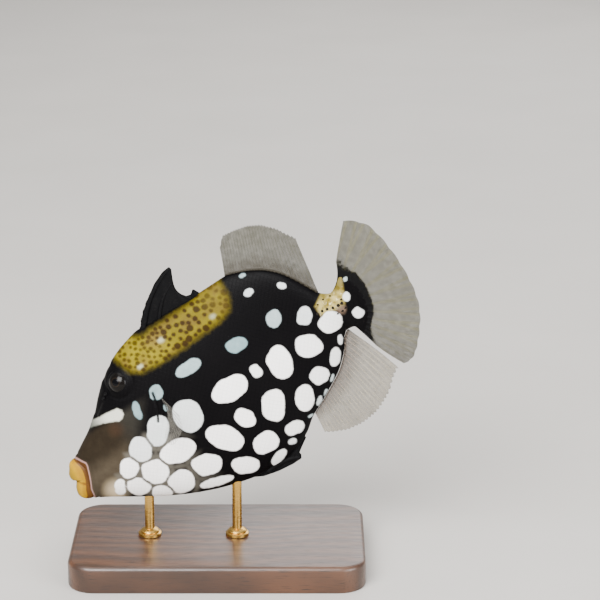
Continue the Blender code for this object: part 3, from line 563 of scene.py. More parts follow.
def half_ring(station):
    """The left half of the body's section, evenly spaced from the back to the belly."""
    near_mouth = 1 - ease(station, MOUTH_S, 15.0)
    lean = math.tan(MOUTH_LEAN) * near_mouth
    top, bottom = float(back(station)), float(belly(station))
    for _ in range(12):
        top = float(back(station + (top - MOUTH_H) * lean))
        bottom = float(belly(station + (bottom - MOUTH_H) * lean))
    level = float(smooth(WIDEST_LEVEL, station))
    a = np.linspace(math.pi / 2, -math.pi / 2, 901)
    power = np.where(a > 0, smooth(UPPER_SECTION, station), smooth(LOWER_SECTION, station))
    reach = np.where(a > 0, top - level, level - bottom)
    h = level + np.sign(a) * reach * np.abs(np.sin(a)) ** (2 / power)
    flat_s, flat_h = station + (h - MOUTH_H) * lean, h
    y = side(flat_s, flat_h)
    for _ in range(8):
        bow = near_mouth * mouth_bow(mouth_level(flat_s, flat_h), y)
        s, h = flat_s + bow * math.cos(MOUTH_LEAN), flat_h - bow * lean
        y = 0.5 * (y + side(s, h))
    y[0] = y[-1] = 0.0
    arc = np.concatenate([[0.0], np.cumsum(np.hypot(np.hypot(np.diff(s), np.diff(y)), np.diff(h)))])
    even = np.linspace(0.0, arc[-1], HALF_RING + 1)
    points = np.stack([np.interp(even, arc, column) for column in (s, -y, h)], -1)
    return points, even - np.interp(0.0, -a, arc)


# The tail fin's own form, as in the solids
CAUDAL_START, CAUDAL_LENGTH = TAIL_STATION + 0.3, 22.0
CAUDAL_ANGLES = (50.0, -79.0)
CAUDAL_ROOT = (4.9, -5.4)
CAUDAL_SHARE = [(0, 0.87), (0.14, 0.99), (0.3, 0.98), (0.5, 0.92), (0.7, 0.85), (0.88, 0.81),
                (1, 0.75)]
CAUDAL_SPREAD = (0.55, 0.9)
CAUDAL_CUP = 3.5
CAUDAL_RIPPLE = 0.6
CRESCENT = [(0, 0.31), (0.12, 0.36), (0.3, 0.4), (0.5, 0.39), (0.75, 0.33), (1, 0.24)]
FLESH_SHORT = 0.06    # how far the stalk's flesh ends inside the crescent
BLACK_EDGE = [(0, 0.48), (0.03, 0.46), (0.06, 0.43), (0.1, 0.41), (0.15, 0.41), (0.2, 0.44),
              (0.3, 0.44), (0.4, 0.42), (0.5, 0.405), (0.6, 0.38), (0.7, 0.34), (0.8, 0.31),
              (0.88, 0.31), (0.94, 0.37), (0.97, 0.41), (1, 0.45)]


def caudal_middle(u, v):
    """The tail fin's mid-surface: u from the top ray to the bottom one, v from root to margin."""
    share = run(CAUDAL_SPREAD, u)
    angle = np.radians(run(CAUDAL_ANGLES, u)) * (share + (1 - share) * np.minimum(1.0, 2.2 * v))
    reach = v * (CAUDAL_LENGTH * smooth(CAUDAL_SHARE, u))
    ripple = CAUDAL_RIPPLE * np.sin(math.tau * 2.2 * u)
    across = v * v * (CAUDAL_CUP * (2 * u - 1) ** 2 + ripple)
    return np.stack([CAUDAL_START + reach * np.cos(angle), across,
                     run(CAUDAL_ROOT, u) + reach * np.sin(angle)], -1)


def skin_grid():
    """Points of the whole skin as rings, with each point's scale-row place."""
    stations = np.concatenate([np.arange(*steps) for steps in RING_STEPS])
    rings, rows = [], []
    for station in stations:
        half, row = half_ring(float(station))
        depth = station - MOUTH_S
        if depth < MOUTH_ROUND:
            shrink = MOUTH_ROUND - math.sqrt(MOUTH_ROUND**2 - (MOUTH_ROUND - depth) ** 2)
            centre = np.array([half[:, 0].mean(), 0.0, 0.5 * (half[0, 2] + half[-1, 2])])
            reach = np.linalg.norm(half - centre, axis=1, keepdims=True)
            half = centre + (half - centre) * (1 - 0.6 * shrink / reach)
        rings.append(half)
        rows.append(np.stack([np.full(len(half), station), row], -1))
    # The mouth's floor, behind the lips
    centre = np.array([MOUTH_S + 0.3, 0.0, MOUTH_H])
    floor = [centre + (rings[0] - centre) * share for share in (0.15, 0.45, 0.7, 0.88)]
    pairs = [(half, half * (1, -1, 1)) for half in floor + rings]
    rows = [rows[0]] * len(floor) + rows
    # The flesh of the tail, thinning over the rays' roots
    last = rings[-1]
    u = np.clip((last[0, 2] - last[:, 2]) / (last[0, 2] - last[-1, 2]), 0.0, 1.0)
    for step in np.linspace(0.0, 1.0, 30)[1:]:
        v = step * (smooth(CRESCENT, u) - FLESH_SHORT)
        swell = np.abs(last[:, 1]) * (1 - step) ** 1.35 * (1 - 0.25 * step)
        sleeve = 0.42 * np.sqrt(np.maximum(0.0, 1 - np.abs(2 * u - 1) ** 12)) * (1 - step**12)
        s, y, h = caudal_middle(u, v).T
        h = h - np.sign(u - 0.5) * np.abs(2 * u - 1) ** 6 * 0.25 * (1 - step**3)
        out = np.maximum(swell, sleeve) + 0.02
        pairs.append((np.stack([s, y - out, h], -1), np.stack([s, y + out, h], -1)))
        rows.append(np.stack([TAIL_STATION + v * CAUDAL_LENGTH, rows[-1][:, 1]], -1))
    grid = np.array([np.concatenate([half, right[-2:0:-1]]) for half, right in pairs])
    row = np.array([np.concatenate([r, r[-2:0:-1]]) for r in rows])
    return grid, row


SCALE_LONG, SCALE_HIGH = 1.35, 1.5
EYE_GROOVE = [(20.6, 14.2), (17.0, 12.4), (13.5, 9.9)]


def build_skin():
    grid, row = skin_grid()
    rings, around = grid.shape[:2]
    along = np.gradient(grid, axis=0)
    wrapped = np.concatenate([grid[:, -1:], grid, grid[:, :1]], axis=1)
    turn = (wrapped[:, 2:] - wrapped[:, :-2]) / 2
    normal = unit(np.cross(along, turn))
    normal *= np.sign(np.median(normal[rings // 2, :, 1] * grid[rings // 2, :, 1]))
    s, y, h = np.moveaxis(grid, -1, 0)
    marks = markings(grid)
    # Plates of the scales: low domes on a slanting lattice
    p = row[..., 0] / SCALE_LONG + row[..., 1] / SCALE_HIGH
    q = row[..., 0] / SCALE_LONG - row[..., 1] / SCALE_HIGH
    plates = 0.25 * (np.cos(math.tau * p) + np.cos(math.tau * q))
    body = ease(s, 5.0, 14.0)
    lift = 0.035 * plates * body
    # Folds round the lips
    behind_rim = mouth_depth(s, y, h) - 0.15 - 0.6 * (1 - hump(y, 2.1))
    lift += 0.16 * hump(behind_rim, 0.26) - 0.12 * hump(behind_rim - 0.7, 0.3)
    # Gill slit, with its flap raised ahead of it
    gill = line_distance(s, h, GILL_LINE)
    ahead = s < np.interp(h, *np.array(GILL_LINE)[::-1, ::-1].T)
    lift += 0.22 * hump(gill, 0.9) * ahead - 0.75 * hump(gill, 0.36)
    # Groove ahead of the eye, and the socket's edge
    lift -= 0.3 * hump(line_distance(s, h, EYE_GROOVE), 0.55)
    lift -= 0.25 * hump(np.hypot(s - EYE_STATION, h - EYE_HEIGHT) - 3.9, 0.45)
    # The channel of the folded back fin
    lift -= 0.45 * hump(y, 0.7) * ease(s, 34.5, 37.0) * (1 - ease(s, 51.5, 54.0)) * (h > 10)
    grid = grid + normal * lift[..., None]
    faces = tube_faces(rings, around, close=False) + [list(range(around))]
    last = (rings - 1) * around
    for k in range(HALF_RING):
        pair = [last + n % around for n in (k, k + 1, around - k - 1, around - k)]
        faces.append(list(dict.fromkeys(pair)))
    piece = new_object("skin", put_down(grid).reshape(-1, 3), faces)
    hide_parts("head", "trunk", "tail_peduncle")
    marks.update(behind_rim=behind_rim, gill=gill, body=body)
    give(piece, **{name: value.ravel() for name, value in marks.items()})
    give(piece, flank=np.stack([row[..., 0], row[..., 1], 0 * y], -1).reshape(-1, 3),
         seen=np.stack([*seen(grid), np.abs(y)], -1).reshape(-1, 3))
    return piece


def skin_look():
    look = Looks("skin", Specular_IOR_Level=0.03)
    mix, between, noise, times, value = look.mix, look.between, look.noise, look.times, look.value
    along, high = look.parts("seen")
    wobble = look.math("ADD", times(noise(1.1, 2), 0.36, -0.18),
                       times(noise(0.35, 2), 0.16, -0.08))

    def marked(name, soft, rough):
        """1 inside a marking and 0 outside it, with an uneven edge soft millimetres wide."""
        return between(times(wobble, rough, value(name)), soft, -soft)

    # Black ground with faint plates
    row_s, row_h = look.parts("flank")
    row_s, row_h = look.math("DIVIDE", row_s, SCALE_LONG), look.math("DIVIDE", row_h, SCALE_HIGH)
    ways = [look.math("FRACT", look.math(way, row_s, row_h)) for way in ("ADD", "SUBTRACT")]
    edges = [look.math("ABSOLUTE", look.math("SUBTRACT", way, 0.5)) for way in ways]
    plate = between(look.math("MAXIMUM", *edges), 0.5, 0.36)
    grain = noise(0.22, rough=0.6)
    cloud = noise(9)
    colour = mix(cloud, (2, 2, 3), (9, 8, 9))
    colour = mix(times(plate, 0.5), colour, (10, 9, 10))
    # Grey-brown muzzle, paler towards the throat, with painted highlights there and a blush below
    # the bar
    muzzle = between(times(cloud, 4, times(high, -0.95, along)), 25, 17.5)
    muzzle = times(muzzle, between(high, 7.8, 5))
    mottle = noise(2.2, 4)
    brown = mix(mottle, (27, 22, 16), (42, 35, 26))
    brown = mix(between(high, 0.8, -5), brown, mix(mottle, (50, 43, 34), (70, 62, 50)))
    brown = mix(between(along, 13, 20, 0, 0.8), brown, mix(mottle, (30, 29, 26), (44, 43, 39)))
    # Painted highlights on the throat: a warm near-white pool of light and a fainter grey one above
    # it
    painted_highlight = between(look.away(7, -9.2, 0), 6.2, 1.6)
    brown = mix(painted_highlight, brown, (255, 232, 190))
    brown = mix(between(look.away(8.2, -5.9, 0), 3.4, 0.6, 0, 0.6), brown, (168, 156, 136))
    brown = mix(between(look.away(15, 3.6, 7), 3.2, 0.6, 0, 0.2), brown, (70, 44, 28))
    colour = mix(muzzle, colour, brown)
    # White bar over the snout
    pale = mix(between(along, 10, 15.5), (84, 87, 80), (192, 192, 178))
    colour = mix(marked("bar", 0.35, 1.2), colour, pale)
    # Yellow saddle, olive at its edges, with dark dots and pale blotches
    yellow = look.mottled(3, (92, 82, 8), (128, 116, 24))
    yellow = mix(between(noise(5), 0.42, 0.62, 0, 0.75), yellow, (96, 78, 36))
    yellow = mix(times(value("blotch"), 0.8), yellow, (164, 166, 136))
    inner = between(times(wobble, 3, value("saddle")), -0.1, -2)
    yellow = mix(inner, look.mottled(1.4, (44, 38, 8), (84, 74, 14)), yellow)
    yellow = mix(between(along, 36, 44, 0, 0.4), yellow, (58, 48, 4))
    faint = times(between(along, 50, 56, 0.92, 0.6), between(along, 33, 41, 0.85, 1))
    yellow = mix(times(marked("dots", 0.28, 1.4), faint), yellow, (34, 20, 4))
    colour = mix(marked("saddle", 1.0, 3.4), colour, yellow)
    # Cream of the tail's stalk, with painted glints on it and a dull patch behind it
    front = times(look.math("MAXIMUM", look.math("SUBTRACT", high, 3.2), 0), -1.6, along)
    stalk = times(between(front, 75.5, 76.9), between(times(high, -0.5, along), 83.7, 82.7))
    stalk = times(stalk, between(high, -1.4, 0.2))
    cream = mix(between(noise(1.6), 0.3, 0.66), (104, 89, 26), (166, 151, 92))
    # Painted glints: small pale flecks over the cream
    cream = mix(between(noise(0.7, 2), 0.6, 0.74), cream, (200, 188, 150))
    cream = mix(between(high, 2.4, 4.4, 0, 0.7), cream, (84, 74, 30))
    colour = mix(stalk, colour, cream)
    dull = between(times(wobble, 1.5, look.away(81.2, -1.3, 1.6)), 1.9, 0.6, 0, 0.8)
    colour = mix(dull, colour, (104, 86, 72))
    # White spots, cool high on the flank and clean white below, on paler ground near the gill
    white = look.mottled(2.5, (242, 238, 234), (254, 252, 250))
    white = mix(value("tint"), white, look.mottled(1.6, (94, 118, 122), (128, 152, 154)))
    white = mix(times(look.math("SUBTRACT", 1, plate), 0.12), white, (120, 118, 122))
    colour = mix(times(value("packed"), times(painted_highlight, -0.7, 0.75)), colour, (88, 84, 76))
    colour = mix(marked("spot", 0.24, 0.9), colour, white)
    # Pale pink rim behind the lips with a brown strip ahead of it, and painted shade in the gill
    # slit
    behind_rim = times(wobble, 0.5, value("behind_rim"))
    colour = mix(between(behind_rim, -0.02, -0.2), colour, (76, 48, 24))
    rim = between(look.math("ABSOLUTE", behind_rim), 0.3, 0.03)
    colour = mix(times(rim, 0.62), colour, (168, 132, 126))
    colour = mix(between(value("gill"), 0.5, 0.12), colour, (10, 9, 10))
    look.set("Base Color", colour)
    look.bump(times(plate, value("body"), times(grain, 0.7)), 0.04, 0.5)
    look.set("Roughness", between(grain, 0.2, 0.8, 0.36, 0.5))
    return look


skin_look().wear(build_skin())


# Lips: one dome on the mouth's plane, parted by the slanting mouth. Its front line is given up the
# plane, as (level, lift) points, and LIP_FOLD gives how much of it is brown skin, not lip

LIP_REACH = 5.75
LIP_CORNER = 2.3    # how square the outline is, with 2 for an oval
LIP_ROUND = 2.7
LIP_FRONT = [(-5.75, 0), (-5.6, 0.9), (-5.2, 1.65), (-4.5, 2.6), (-3.5, 3.1), (-2.6, 3.15),
             (-1.7, 2.95), (-0.8, 2.55), (0, 2.15), (0.35, 1.95), (0.6, 2.3), (1, 3), (1.6, 3.2),
             (2.2, 3.15), (3, 2.85), (3.8, 2.45), (4.6, 2.05), (5.2, 1.65), (5.6, 0.9), (5.75, 0)]
LIP_START = 0.3     # how far the lips stand ahead of the skin's front edge
LIP_FOLD = [(-5.75, 1.9), (-5.2, 1.6), (-4, 0.9), (-2.5, 0.6), (0, 0.3), (3, 0.2), (5.75, 0.2)]
LIP_GRID = 72
MOUTH_POINT = (-0.81, -2.32)
MOUTH_TURN = 130.0
LIP_LEVEL = 0.04    # how far each lip's soft edge stays from the mouth's middle


def build_lip(name, hand):
    """The upper lip has a hand of 1, the lower one of -1."""
    forward = np.array([-math.cos(MOUTH_LEAN), math.sin(MOUTH_LEAN)])
    upward = np.array([math.sin(MOUTH_LEAN), math.cos(MOUTH_LEAN)])
    away = np.array(MOUTH_POINT) - (MOUTH_S, MOUTH_H)
    turn = math.radians(MOUTH_TURN)
    way = np.array([math.sin(turn), math.cos(turn)])
    slope = float(way @ upward) / float(way @ forward)
    across = np.sin(np.linspace(-math.pi / 2, math.pi / 2, LIP_GRID))[:, None]
    arch = (1 - np.abs(across) ** LIP_ROUND) ** (1 / LIP_ROUND)
    t = 0.5 - 0.5 * np.cos(np.linspace(0.0, 0.985 * math.pi, LIP_GRID))[None, :]

    def wide(level):
        oval = np.maximum(1 - (np.abs(level) / LIP_REACH) ** LIP_CORNER, 0.0)
        return LIP_HALF_WIDTH * oval ** (1 / LIP_CORNER)

    def dome(level):
        return LIP_START + smooth(LIP_FRONT, level) * arch

    def crease(lift):
        return float(away @ upward) + slope * (lift - float(away @ forward)) + hand * LIP_LEVEL

    edge = np.zeros_like(across)
    for _ in range(120):
        edge = 0.8 * edge + 0.2 * crease(dome(edge) - mouth_bow(edge, across * wide(edge)))
    level = edge + (hand * LIP_REACH - edge) * t
    y = across * wide(level)
    bow = mouth_bow(level, y)
    near = np.abs(level - edge)
    border = np.minimum(wide(level) * (1 - np.abs(across)), LIP_REACH - np.abs(level))
    relief = 0.03 * np.sin(8 * y + 0.9 * np.sin(1.7 * level)) + 0.02 * np.sin(3.1 * level + 1.1 * y)
    relief -= 0.14 * np.maximum(0.0, 1 - near / 0.6) ** 2
    lift = dome(level) + relief * np.minimum(1.0, dome(level) - LIP_START) - bow
    floor_lift = -0.35 - bow
    floor_level = 0.98 * level + (1 - t) * slope * (floor_lift - lift)
    sheets = []
    for rise, high, share in ((lift, level, 1.0), (floor_lift, floor_level, 0.98)):
        s = MOUTH_S + upward[0] * high + forward[0] * rise
        h = MOUTH_H + upward[1] * high + forward[1] * rise
        sheets.append(np.stack([s, share * y, h], -1).reshape(-1, 3))
    verts = put_down(np.concatenate(sheets))
    piece = new_object(name + "_skin", verts, sheet_faces(LIP_GRID, LIP_GRID), 50)
    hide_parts(name)
    # fold is LIP_FOLD less the lip's lift: the material browns the lip above 0 and paints shade on
    # it far below 0
    fold = smooth(LIP_FOLD, level) - dome(level) + LIP_START
    # rim: nearness to the lips' parting and outer border, where the material paints shade
    rim = hump(near, 0.3) + hump(border, 0.25)
    give(piece, rim=np.tile(rim.ravel(), 2), fold=np.tile(fold.ravel(), 2))
    return piece


look = Looks("lips", Roughness=0.45, Specular_IOR_Level=0.12)
orange = look.mottled(1.6, (140, 106, 0), (188, 148, 0), 4)
orange = look.mix(look.noise(0.5), orange, (168, 126, 0))
# Painted shade: darker olive on the lips' furthest-forward part
orange = look.mix(look.between(look.value("fold"), -0.9, -2.7, 0, 0.6), orange, (98, 82, 12))
# Painted shade along the lips' parting and round their outer border
orange = look.mix(look.times(look.value("rim"), 0.5), orange, (104, 66, 20))
orange = look.mix(look.between(look.value("fold"), -0.1, 0.2), orange, (82, 52, 20))
look.set("Base Color", orange)
look.bump(look.noise(0.3), 0.05, 0.7)
look.wear(build_lip("upper_lip", 1), build_lip("lower_lip", -1))


# Eyes: a dark ball with a bronze ring round the pupil, and a fold of skin round it

EYE_AROUND = 72
BACK_OF_EYE = 9.0    # the radius given to the ball's hidden half, past every ring of colour
LID_RADIUS, LID_HEIGHT = 2.86, 0.86


def eye_piece(name, hand, profile):
    """A turned shape round the eye's axis."""
    n, first, second = axes_at(EYE_STATION, EYE_HEIGHT)
    skin_y = float(side(EYE_STATION, EYE_HEIGHT)) - EYE_RIM
    centre = np.array([EYE_STATION, -skin_y, EYE_HEIGHT]) - n * EYE_SINK
    verts = turned(profile, centre, first, second, n, EYE_AROUND) * (1, -hand, 1)
    return new_object(name, put_down(verts), tube_faces(len(profile), EYE_AROUND))


eyes, lids = [], []
for name, hand in (("eye_left", -1), ("eye_right", 1)):
    turn = np.linspace(0.04, math.pi - 0.04, 40)
    radius, depth = EYE_RADIUS * np.sin(turn), EYE_DEPTH_RADIUS * np.cos(turn)
    ball = eye_piece(name + "_ball", hand, list(zip(radius, depth)))
    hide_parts(name)
    give(ball, radius=np.repeat(np.where(depth > 0, radius, BACK_OF_EYE), EYE_AROUND))
    eyes.append(ball)
    turn = np.linspace(-0.6, math.pi + 0.3, 14)
    lid = list(zip(LID_RADIUS - 0.34 * np.cos(turn), LID_HEIGHT + 0.3 * np.sin(turn)))
    lids.append(eye_piece(name + "_lid", hand, lid))

look = Looks("eye", Roughness=0.2, Specular_IOR_Level=0.12, Coat_Weight=0.03, Coat_Roughness=0.08)
radius = look.value("radius")
iris = look.mix(look.noise(0.35, 4, 0.7), (5, 4, 4), (13, 10, 8))
ring = look.times(look.between(radius, 1, 1.08), look.between(radius, 1.24, 1.14))
iris = look.mix(ring, iris, (30, 22, 14))
iris = look.mix(look.between(radius, 1.02, 0.96), iris, (4, 4, 6))
iris = look.mix(look.between(radius, 2.2, 2.6), iris, (5, 5, 5))
look.set("Base Color", iris)
look.bump(look.noise(0.25), 0.01, 0.3)
look.wear(*eyes)

# Nostrils: two small raised rims ahead of each eye, dark like the eyes' folds
NOSTRIL = [(0.5, -0.2), (0.46, 0.02), (0.36, 0.12), (0.25, 0.08), (0.2, -0.06), (0.04, -0.22)]
NOSTRIL_LONG = 1.25
places = []
for s, h in NOSTRILS:
    n, first, second = axes_at(s, h)
    places.append((skin_point(s, h), NOSTRIL_LONG * first, second, n))
nostrils = on_both_sides("nostrils", NOSTRIL, around=20, places=places)

look = Looks("lid", Roughness=0.5, Specular_IOR_Level=0.08)
look.set("Base Color", look.mottled(0.5, (4, 4, 5), (9, 8, 9)))
look.bump(look.noise(0.25), 0.05, 0.8)
look.wear(*lids, nostrils)


# Fins: a thin skin over rays that stand up as ridges and fork towards the margin

FIN_GRID = (8, 34)    # points across each ray's strip, and from root to margin
CAUDAL_GRID = (14, 60)
PECTORAL_GRID = (8, 30)


def build_fin(name, replaced, rays, grid, middle, across, thick, values=None, phase=0.0,
              scallop=0.035):
    """middle(u, v) gives the mid-surface, across(u, v) the way of the thickness, in millimetres."""
    columns, rows = rays * grid[0] + 1, grid[1]
    u, v = shares(columns, rows)
    x = (u * rays + phase) % 1.0 - 0.5
    ridge = hump(np.abs(x) - 0.2 * ease(v, 0.4, 1.0), 0.17 - 0.06 * v)
    reach = 1 - scallop * (1 - np.cos(math.tau * x + math.pi)) / 2
    points = middle(u, v * reach)
    half = across(u, v) * thick(u, v, ridge)[..., None]
    verts = np.concatenate([(points - half).reshape(-1, 3), (points + half).reshape(-1, 3)])
    piece = new_object(name, put_down(verts), sheet_faces(columns, rows))
    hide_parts(replaced)
    found = {"ray": ridge, "out": v, **(values(points, u, v) if values else {})}
    give(piece, **{key: np.tile(value.ravel(), 2) for key, value in found.items()})
    return piece


def fin_thick(u, v, ridge):
    """Half the thickness of a soft fin: skin, ray and a fleshy root."""
    thin = (0.11 + 0.19 * ridge * (1 - 0.45 * v)) * (1 - 0.5 * v**3)
    return thin + 0.22 * np.maximum(0.0, 1 - 7 * v)


def upright(u, v):
    return np.stack([0 * u, 0 * u + 1, 0 * v], -1)


DORSAL_BASE = (61.5, 79.6)
DORSAL_LENGTH = [(0, 8), (0.08, 10.8), (0.25, 11.2), (0.5, 11.9), (0.7, 13.1), (0.88, 15.2),
                 (1, 16.4)]
DORSAL_ANGLES = (64.0, 75.0)
ANAL_BASE = (60.5, 80.8)
ANAL_LENGTH = [(0, 6), (0.12, 9), (0.35, 12.8), (0.7, 15.2), (0.92, 16.3), (1, 16.2)]
ANAL_ANGLES = (-99.0, -68.0)
FIN_WAVE = 1.3


def soft_middle(base, length, angles, line, phase):
    """The mid-surface of a fin on the back or the belly line."""
    def middle(u, v):
        s = run(base, u)
        slope = (line(s + 0.2) - line(s - 0.2)) / 0.4
        size = np.hypot(slope, 1.0) * (1 if line is back else -1)
        s0, h0 = s - slope / size * 0.1, line(s) + 0.1 / size
        angle = np.radians(run(angles, u))
        reach = v * (smooth(length, u) * 0.995)
        wave = FIN_WAVE * v * np.sin(math.tau * (0.9 * u - 0.25 * v) + phase)
        small = 0.16 * v * v * np.sin(math.tau * 5.3 * u + 1.7 * phase)
        return np.stack([s0 + reach * np.cos(angle), wave + small, h0 + reach * np.sin(angle)], -1)
    return middle


dorsal = build_fin("second_dorsal_skin", "second_dorsal_fin", DORSAL_RAYS, FIN_GRID,
                   soft_middle(DORSAL_BASE, DORSAL_LENGTH, DORSAL_ANGLES, back, 0.3),
                   upright, fin_thick)
anal = build_fin("anal_fin_skin", "anal_fin", ANAL_RAYS, FIN_GRID,
                 soft_middle(ANAL_BASE, ANAL_LENGTH, ANAL_ANGLES, belly, 2.2),
                 upright, fin_thick)


def caudal_thick(u, v, ridge):
    flesh = 2 * np.sqrt(np.maximum(0.0, 1 - (2 * u - 1) ** 2)) * np.maximum(0.0, 1 - v / 0.3) ** 1.6
    edge = 0.12 * (hump(u, 0.02) + hump(1 - u, 0.02)) * (1 - v)
    return np.maximum(0.12 + 0.2 * ridge * (1 - 0.4 * v) + edge, 0.85 * flesh) * (1 - 0.35 * v**4)


def caudal_values(points, u, v):
    """How far a point lies inside the black root, with softer ends, and its way to a pale spot."""
    soft = 1 + 6 * (hump(u, 0.09) + hump(1 - u, 0.09))
    x, y = seen(points)
    pale = np.minimum.reduce([spot_distance(x, y, SPOTS[number], number) for number in TAIL_SPOTS])
    return {"crescent": (smooth(BLACK_EDGE, u) - v) * CAUDAL_LENGTH / soft, "pale": pale}


caudal = build_fin("caudal_fin_skin", "caudal_fin", CAUDAL_RAYS, CAUDAL_GRID, caudal_middle,
                   upright, caudal_thick, caudal_values, 0.5, 0.012)

PECTORAL_ROOT = (31.8, 31.0), (5.9, 1.4)    # stations and heights
PECTORAL_ANGLES = (-66.0, -132.0)
PECTORAL_LENGTH = [(0, 7), (0.25, 9.6), (0.55, 9.9), (0.85, 8), (1, 6)]
PECTORAL_STAND_OFF = 33.0
PECTORAL_CUP = 0.9


def pectoral_shape(hand):
    normal = side_normal(*(sum(pair) / 2 for pair in PECTORAL_ROOT))
    off = math.radians(PECTORAL_STAND_OFF)
    flip = np.array([1.0, -hand, 1.0])

    def ray(u):
        angle = np.radians(run(PECTORAL_ANGLES, u))
        flat = np.stack([np.cos(angle), 0 * angle, np.sin(angle)], -1)
        flat = unit(flat - (flat @ normal)[..., None] * normal)
        return math.cos(off) * flat + math.sin(off) * normal

    def middle(u, v):
        s, h = (run(pair, u) for pair in PECTORAL_ROOT)
        root = np.stack([s, -side(s, h), h], -1) + normal * 0.05
        cup = normal * (PECTORAL_CUP * np.sin(math.pi * u) * v * v)[..., None]
        return (root + ray(u) * (smooth(PECTORAL_LENGTH, u) * v)[..., None] + cup) * flip

    def across(u, v):
        beside = ray(np.minimum(u + 0.05, 1.0)) - ray(np.maximum(u - 0.05, 0.0))
        return unit(np.cross(ray(u), beside)) * flip

    return middle, across


pectorals = []
for name, hand in (("pectoral_fin_left", -1), ("pectoral_fin_right", 1)):
    middle, across = pectoral_shape(hand)
    pectorals.append(build_fin(name + "_skin", name, PECTORAL_RAYS, PECTORAL_GRID, middle, across,
                               fin_thick))


FIN_JOINTS = 26.0    # joints along a ray


def fin_look(name, skin_tone, ray_tone, near_tone, root_tone, skin_alpha, ray_alpha, *fins):
    """Skin, rays, the rays' near ends and the root each have a tone. The tail's root is black."""
    look = Looks(name, Roughness=0.4, Specular_IOR_Level=0.1)
    mix, between, times = look.mix, look.between, look.times
    out = look.value("out")
    core = between(look.value("ray"), 0.25, 0.85)
    joint = look.math("SUBTRACT", look.math("FRACT", times(out, FIN_JOINTS)), 0.5)
    joint = times(between(look.math("ABSOLUTE", joint), 0.42, 0.5), core)
    darker = tuple(0.86 * c for c in tone(*skin_tone)[:3]) + (1.0,)
    near = between(out, 0.48, 0.08)
    root = between(out, 0.12, 0)
    colour = mix(times(near, 0.6), mix(look.noise(2.5), skin_tone, darker), root_tone)
    colour = mix(core, colour, mix(between(out, 0.05, 0.5), near_tone, ray_tone))
    colour = mix(times(joint, 0.35), colour, root_tone)
    colour = mix(times(root, 0.7), colour, root_tone)
    alpha = look.math("ADD", times(core, ray_alpha - skin_alpha), skin_alpha)
    alpha = times(times(near, 0.12, alpha), between(look.noise(1.5), 0.2, 0.8, 0.85, 1.1))
    alpha = look.math("MAXIMUM", alpha, times(root, 0.9))
    if caudal in fins:
        rough = times(look.noise(1), 0.9, -0.45)
        black = between(look.math("ADD", look.value("crescent"), rough), -0.6, 0.4)
        colour = mix(black, colour, (5, 5, 6))
        colour = mix(times(between(look.value("pale"), 0.2, -0.2), black), colour, (160, 172, 168))
        alpha = look.math("MAXIMUM", alpha, black)
    look.set("Base Color", colour)
    look.set("Alpha", alpha)
    look.bump(look.math("SUBTRACT", look.noise(0.4, 2), times(joint, 0.6)), 0.04, 0.6)
    look.wear(*fins)


fin_look("back_fin", (46, 46, 32), (74, 71, 52), (66, 60, 48), (46, 42, 35), 0.53, 0.63, dorsal)
fin_look("belly_fin", (104, 98, 84), (142, 134, 116), (112, 98, 86), (48, 40, 36), 0.45, 0.58, anal)
fin_look("tail_fin", (56, 54, 34), (82, 79, 56), (68, 66, 46), (34, 33, 30), 0.53, 0.64, caudal)
fin_look("side_fins", (176, 172, 160), (92, 88, 84), (34, 32, 34), (20, 19, 20), 0.035, 0.32,
         *pectorals)


# First back fin and belly flap: rough spines with dark skin between them

SPINE_BOW = 0.085    # how far a spine bows, as a share of its length
# Each spine's root and tip (s, h), its radius, and the tip's share of it
SPINES = [((35.8, 21.0), (50.9, 31.5), 1.0, 0.28), ((40.9, 21.2), (49.2, 27.9), 0.75, 0.3),
          ((51.4, 21.0), (52.9, 23.6), 0.5, 0.5)]
FLAP_SPINE = ((41.5, -27.7), (50.6, -28.9), 0.9, 0.8)
SPINE_GRID = (90, 18)    # rings, and points round each
WEB_GRID = (90, 26)      # points along the web, and from its base to its free edge


def spine_points(root, tip, radius, tip_share, seed, rough):
    """Points of a bowed spine whose front edge is rough with small knobs."""
    root, tip = np.array(root), np.array(tip)
    length = np.linalg.norm(tip - root)
    over = np.array([root[1] - tip[1], tip[0] - root[0]]) / length
    rings, around = SPINE_GRID
    draw = np.random.default_rng(seed)
    t = np.linspace(0, 1, rings)[:, None]
    a = np.linspace(0, math.tau, around, endpoint=False)[None, :]
    knob = draw.uniform(-1, 1, (rings, around))
    front = np.maximum(np.cos(a), 0.0) ** 2
    r = radius * (1 - (1 - tip_share) * t) * np.sqrt(np.clip((1.015 - t) / 0.04, 0, 1))
    r = r * (1 + rough * knob * (0.25 + front)) + 0.1 * radius * front * (np.sin(48 * t) > 0.2)
    out = SPINE_BOW * length * 4 * t * (1 - t) + r * np.cos(a)
    s, h = (root[n] + (tip[n] - root[n]) * t + over[n] * out for n in (0, 1))
    return np.stack([s, r * np.sin(a), h], -1).reshape(-1, 3)


def line_at(points, share):
    """Points of a polyline at shares of its length."""
    points = np.array(points, float)
    way = np.concatenate([[0.0], np.cumsum(np.linalg.norm(np.diff(points, axis=0), axis=1))])
    return np.stack([np.interp(share, way / way[-1], column) for column in points.T], -1)


def build_dark_fin(name, replaced, base, top, half, spines, rough):
    """Spines, with creased skin between a base line and a top line, thin at its free edge."""
    u, v = shares(*WEB_GRID)
    s, h = np.moveaxis(run((line_at(base, u), line_at(top, u)), v[..., None]), -1, 0)
    crease = 0.05 * np.sin(math.tau * (5 * u + 0.6 * v) + 0.4) * np.sin(math.pi * v)
    size = half * (1 - 0.45 * v)
    verts, faces = [], sheet_faces(*WEB_GRID)
    for way in (-1, 1):
        verts += [*np.stack([s, crease + way * size, h], -1).reshape(-1, 3)]
    for number, shape in enumerate(spines):
        faces += tube_faces(*SPINE_GRID, len(verts))
        verts += [*spine_points(*shape, 70 + number, rough)]
    piece = new_object(name, put_down(verts), faces)
    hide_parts(replaced)
    return piece


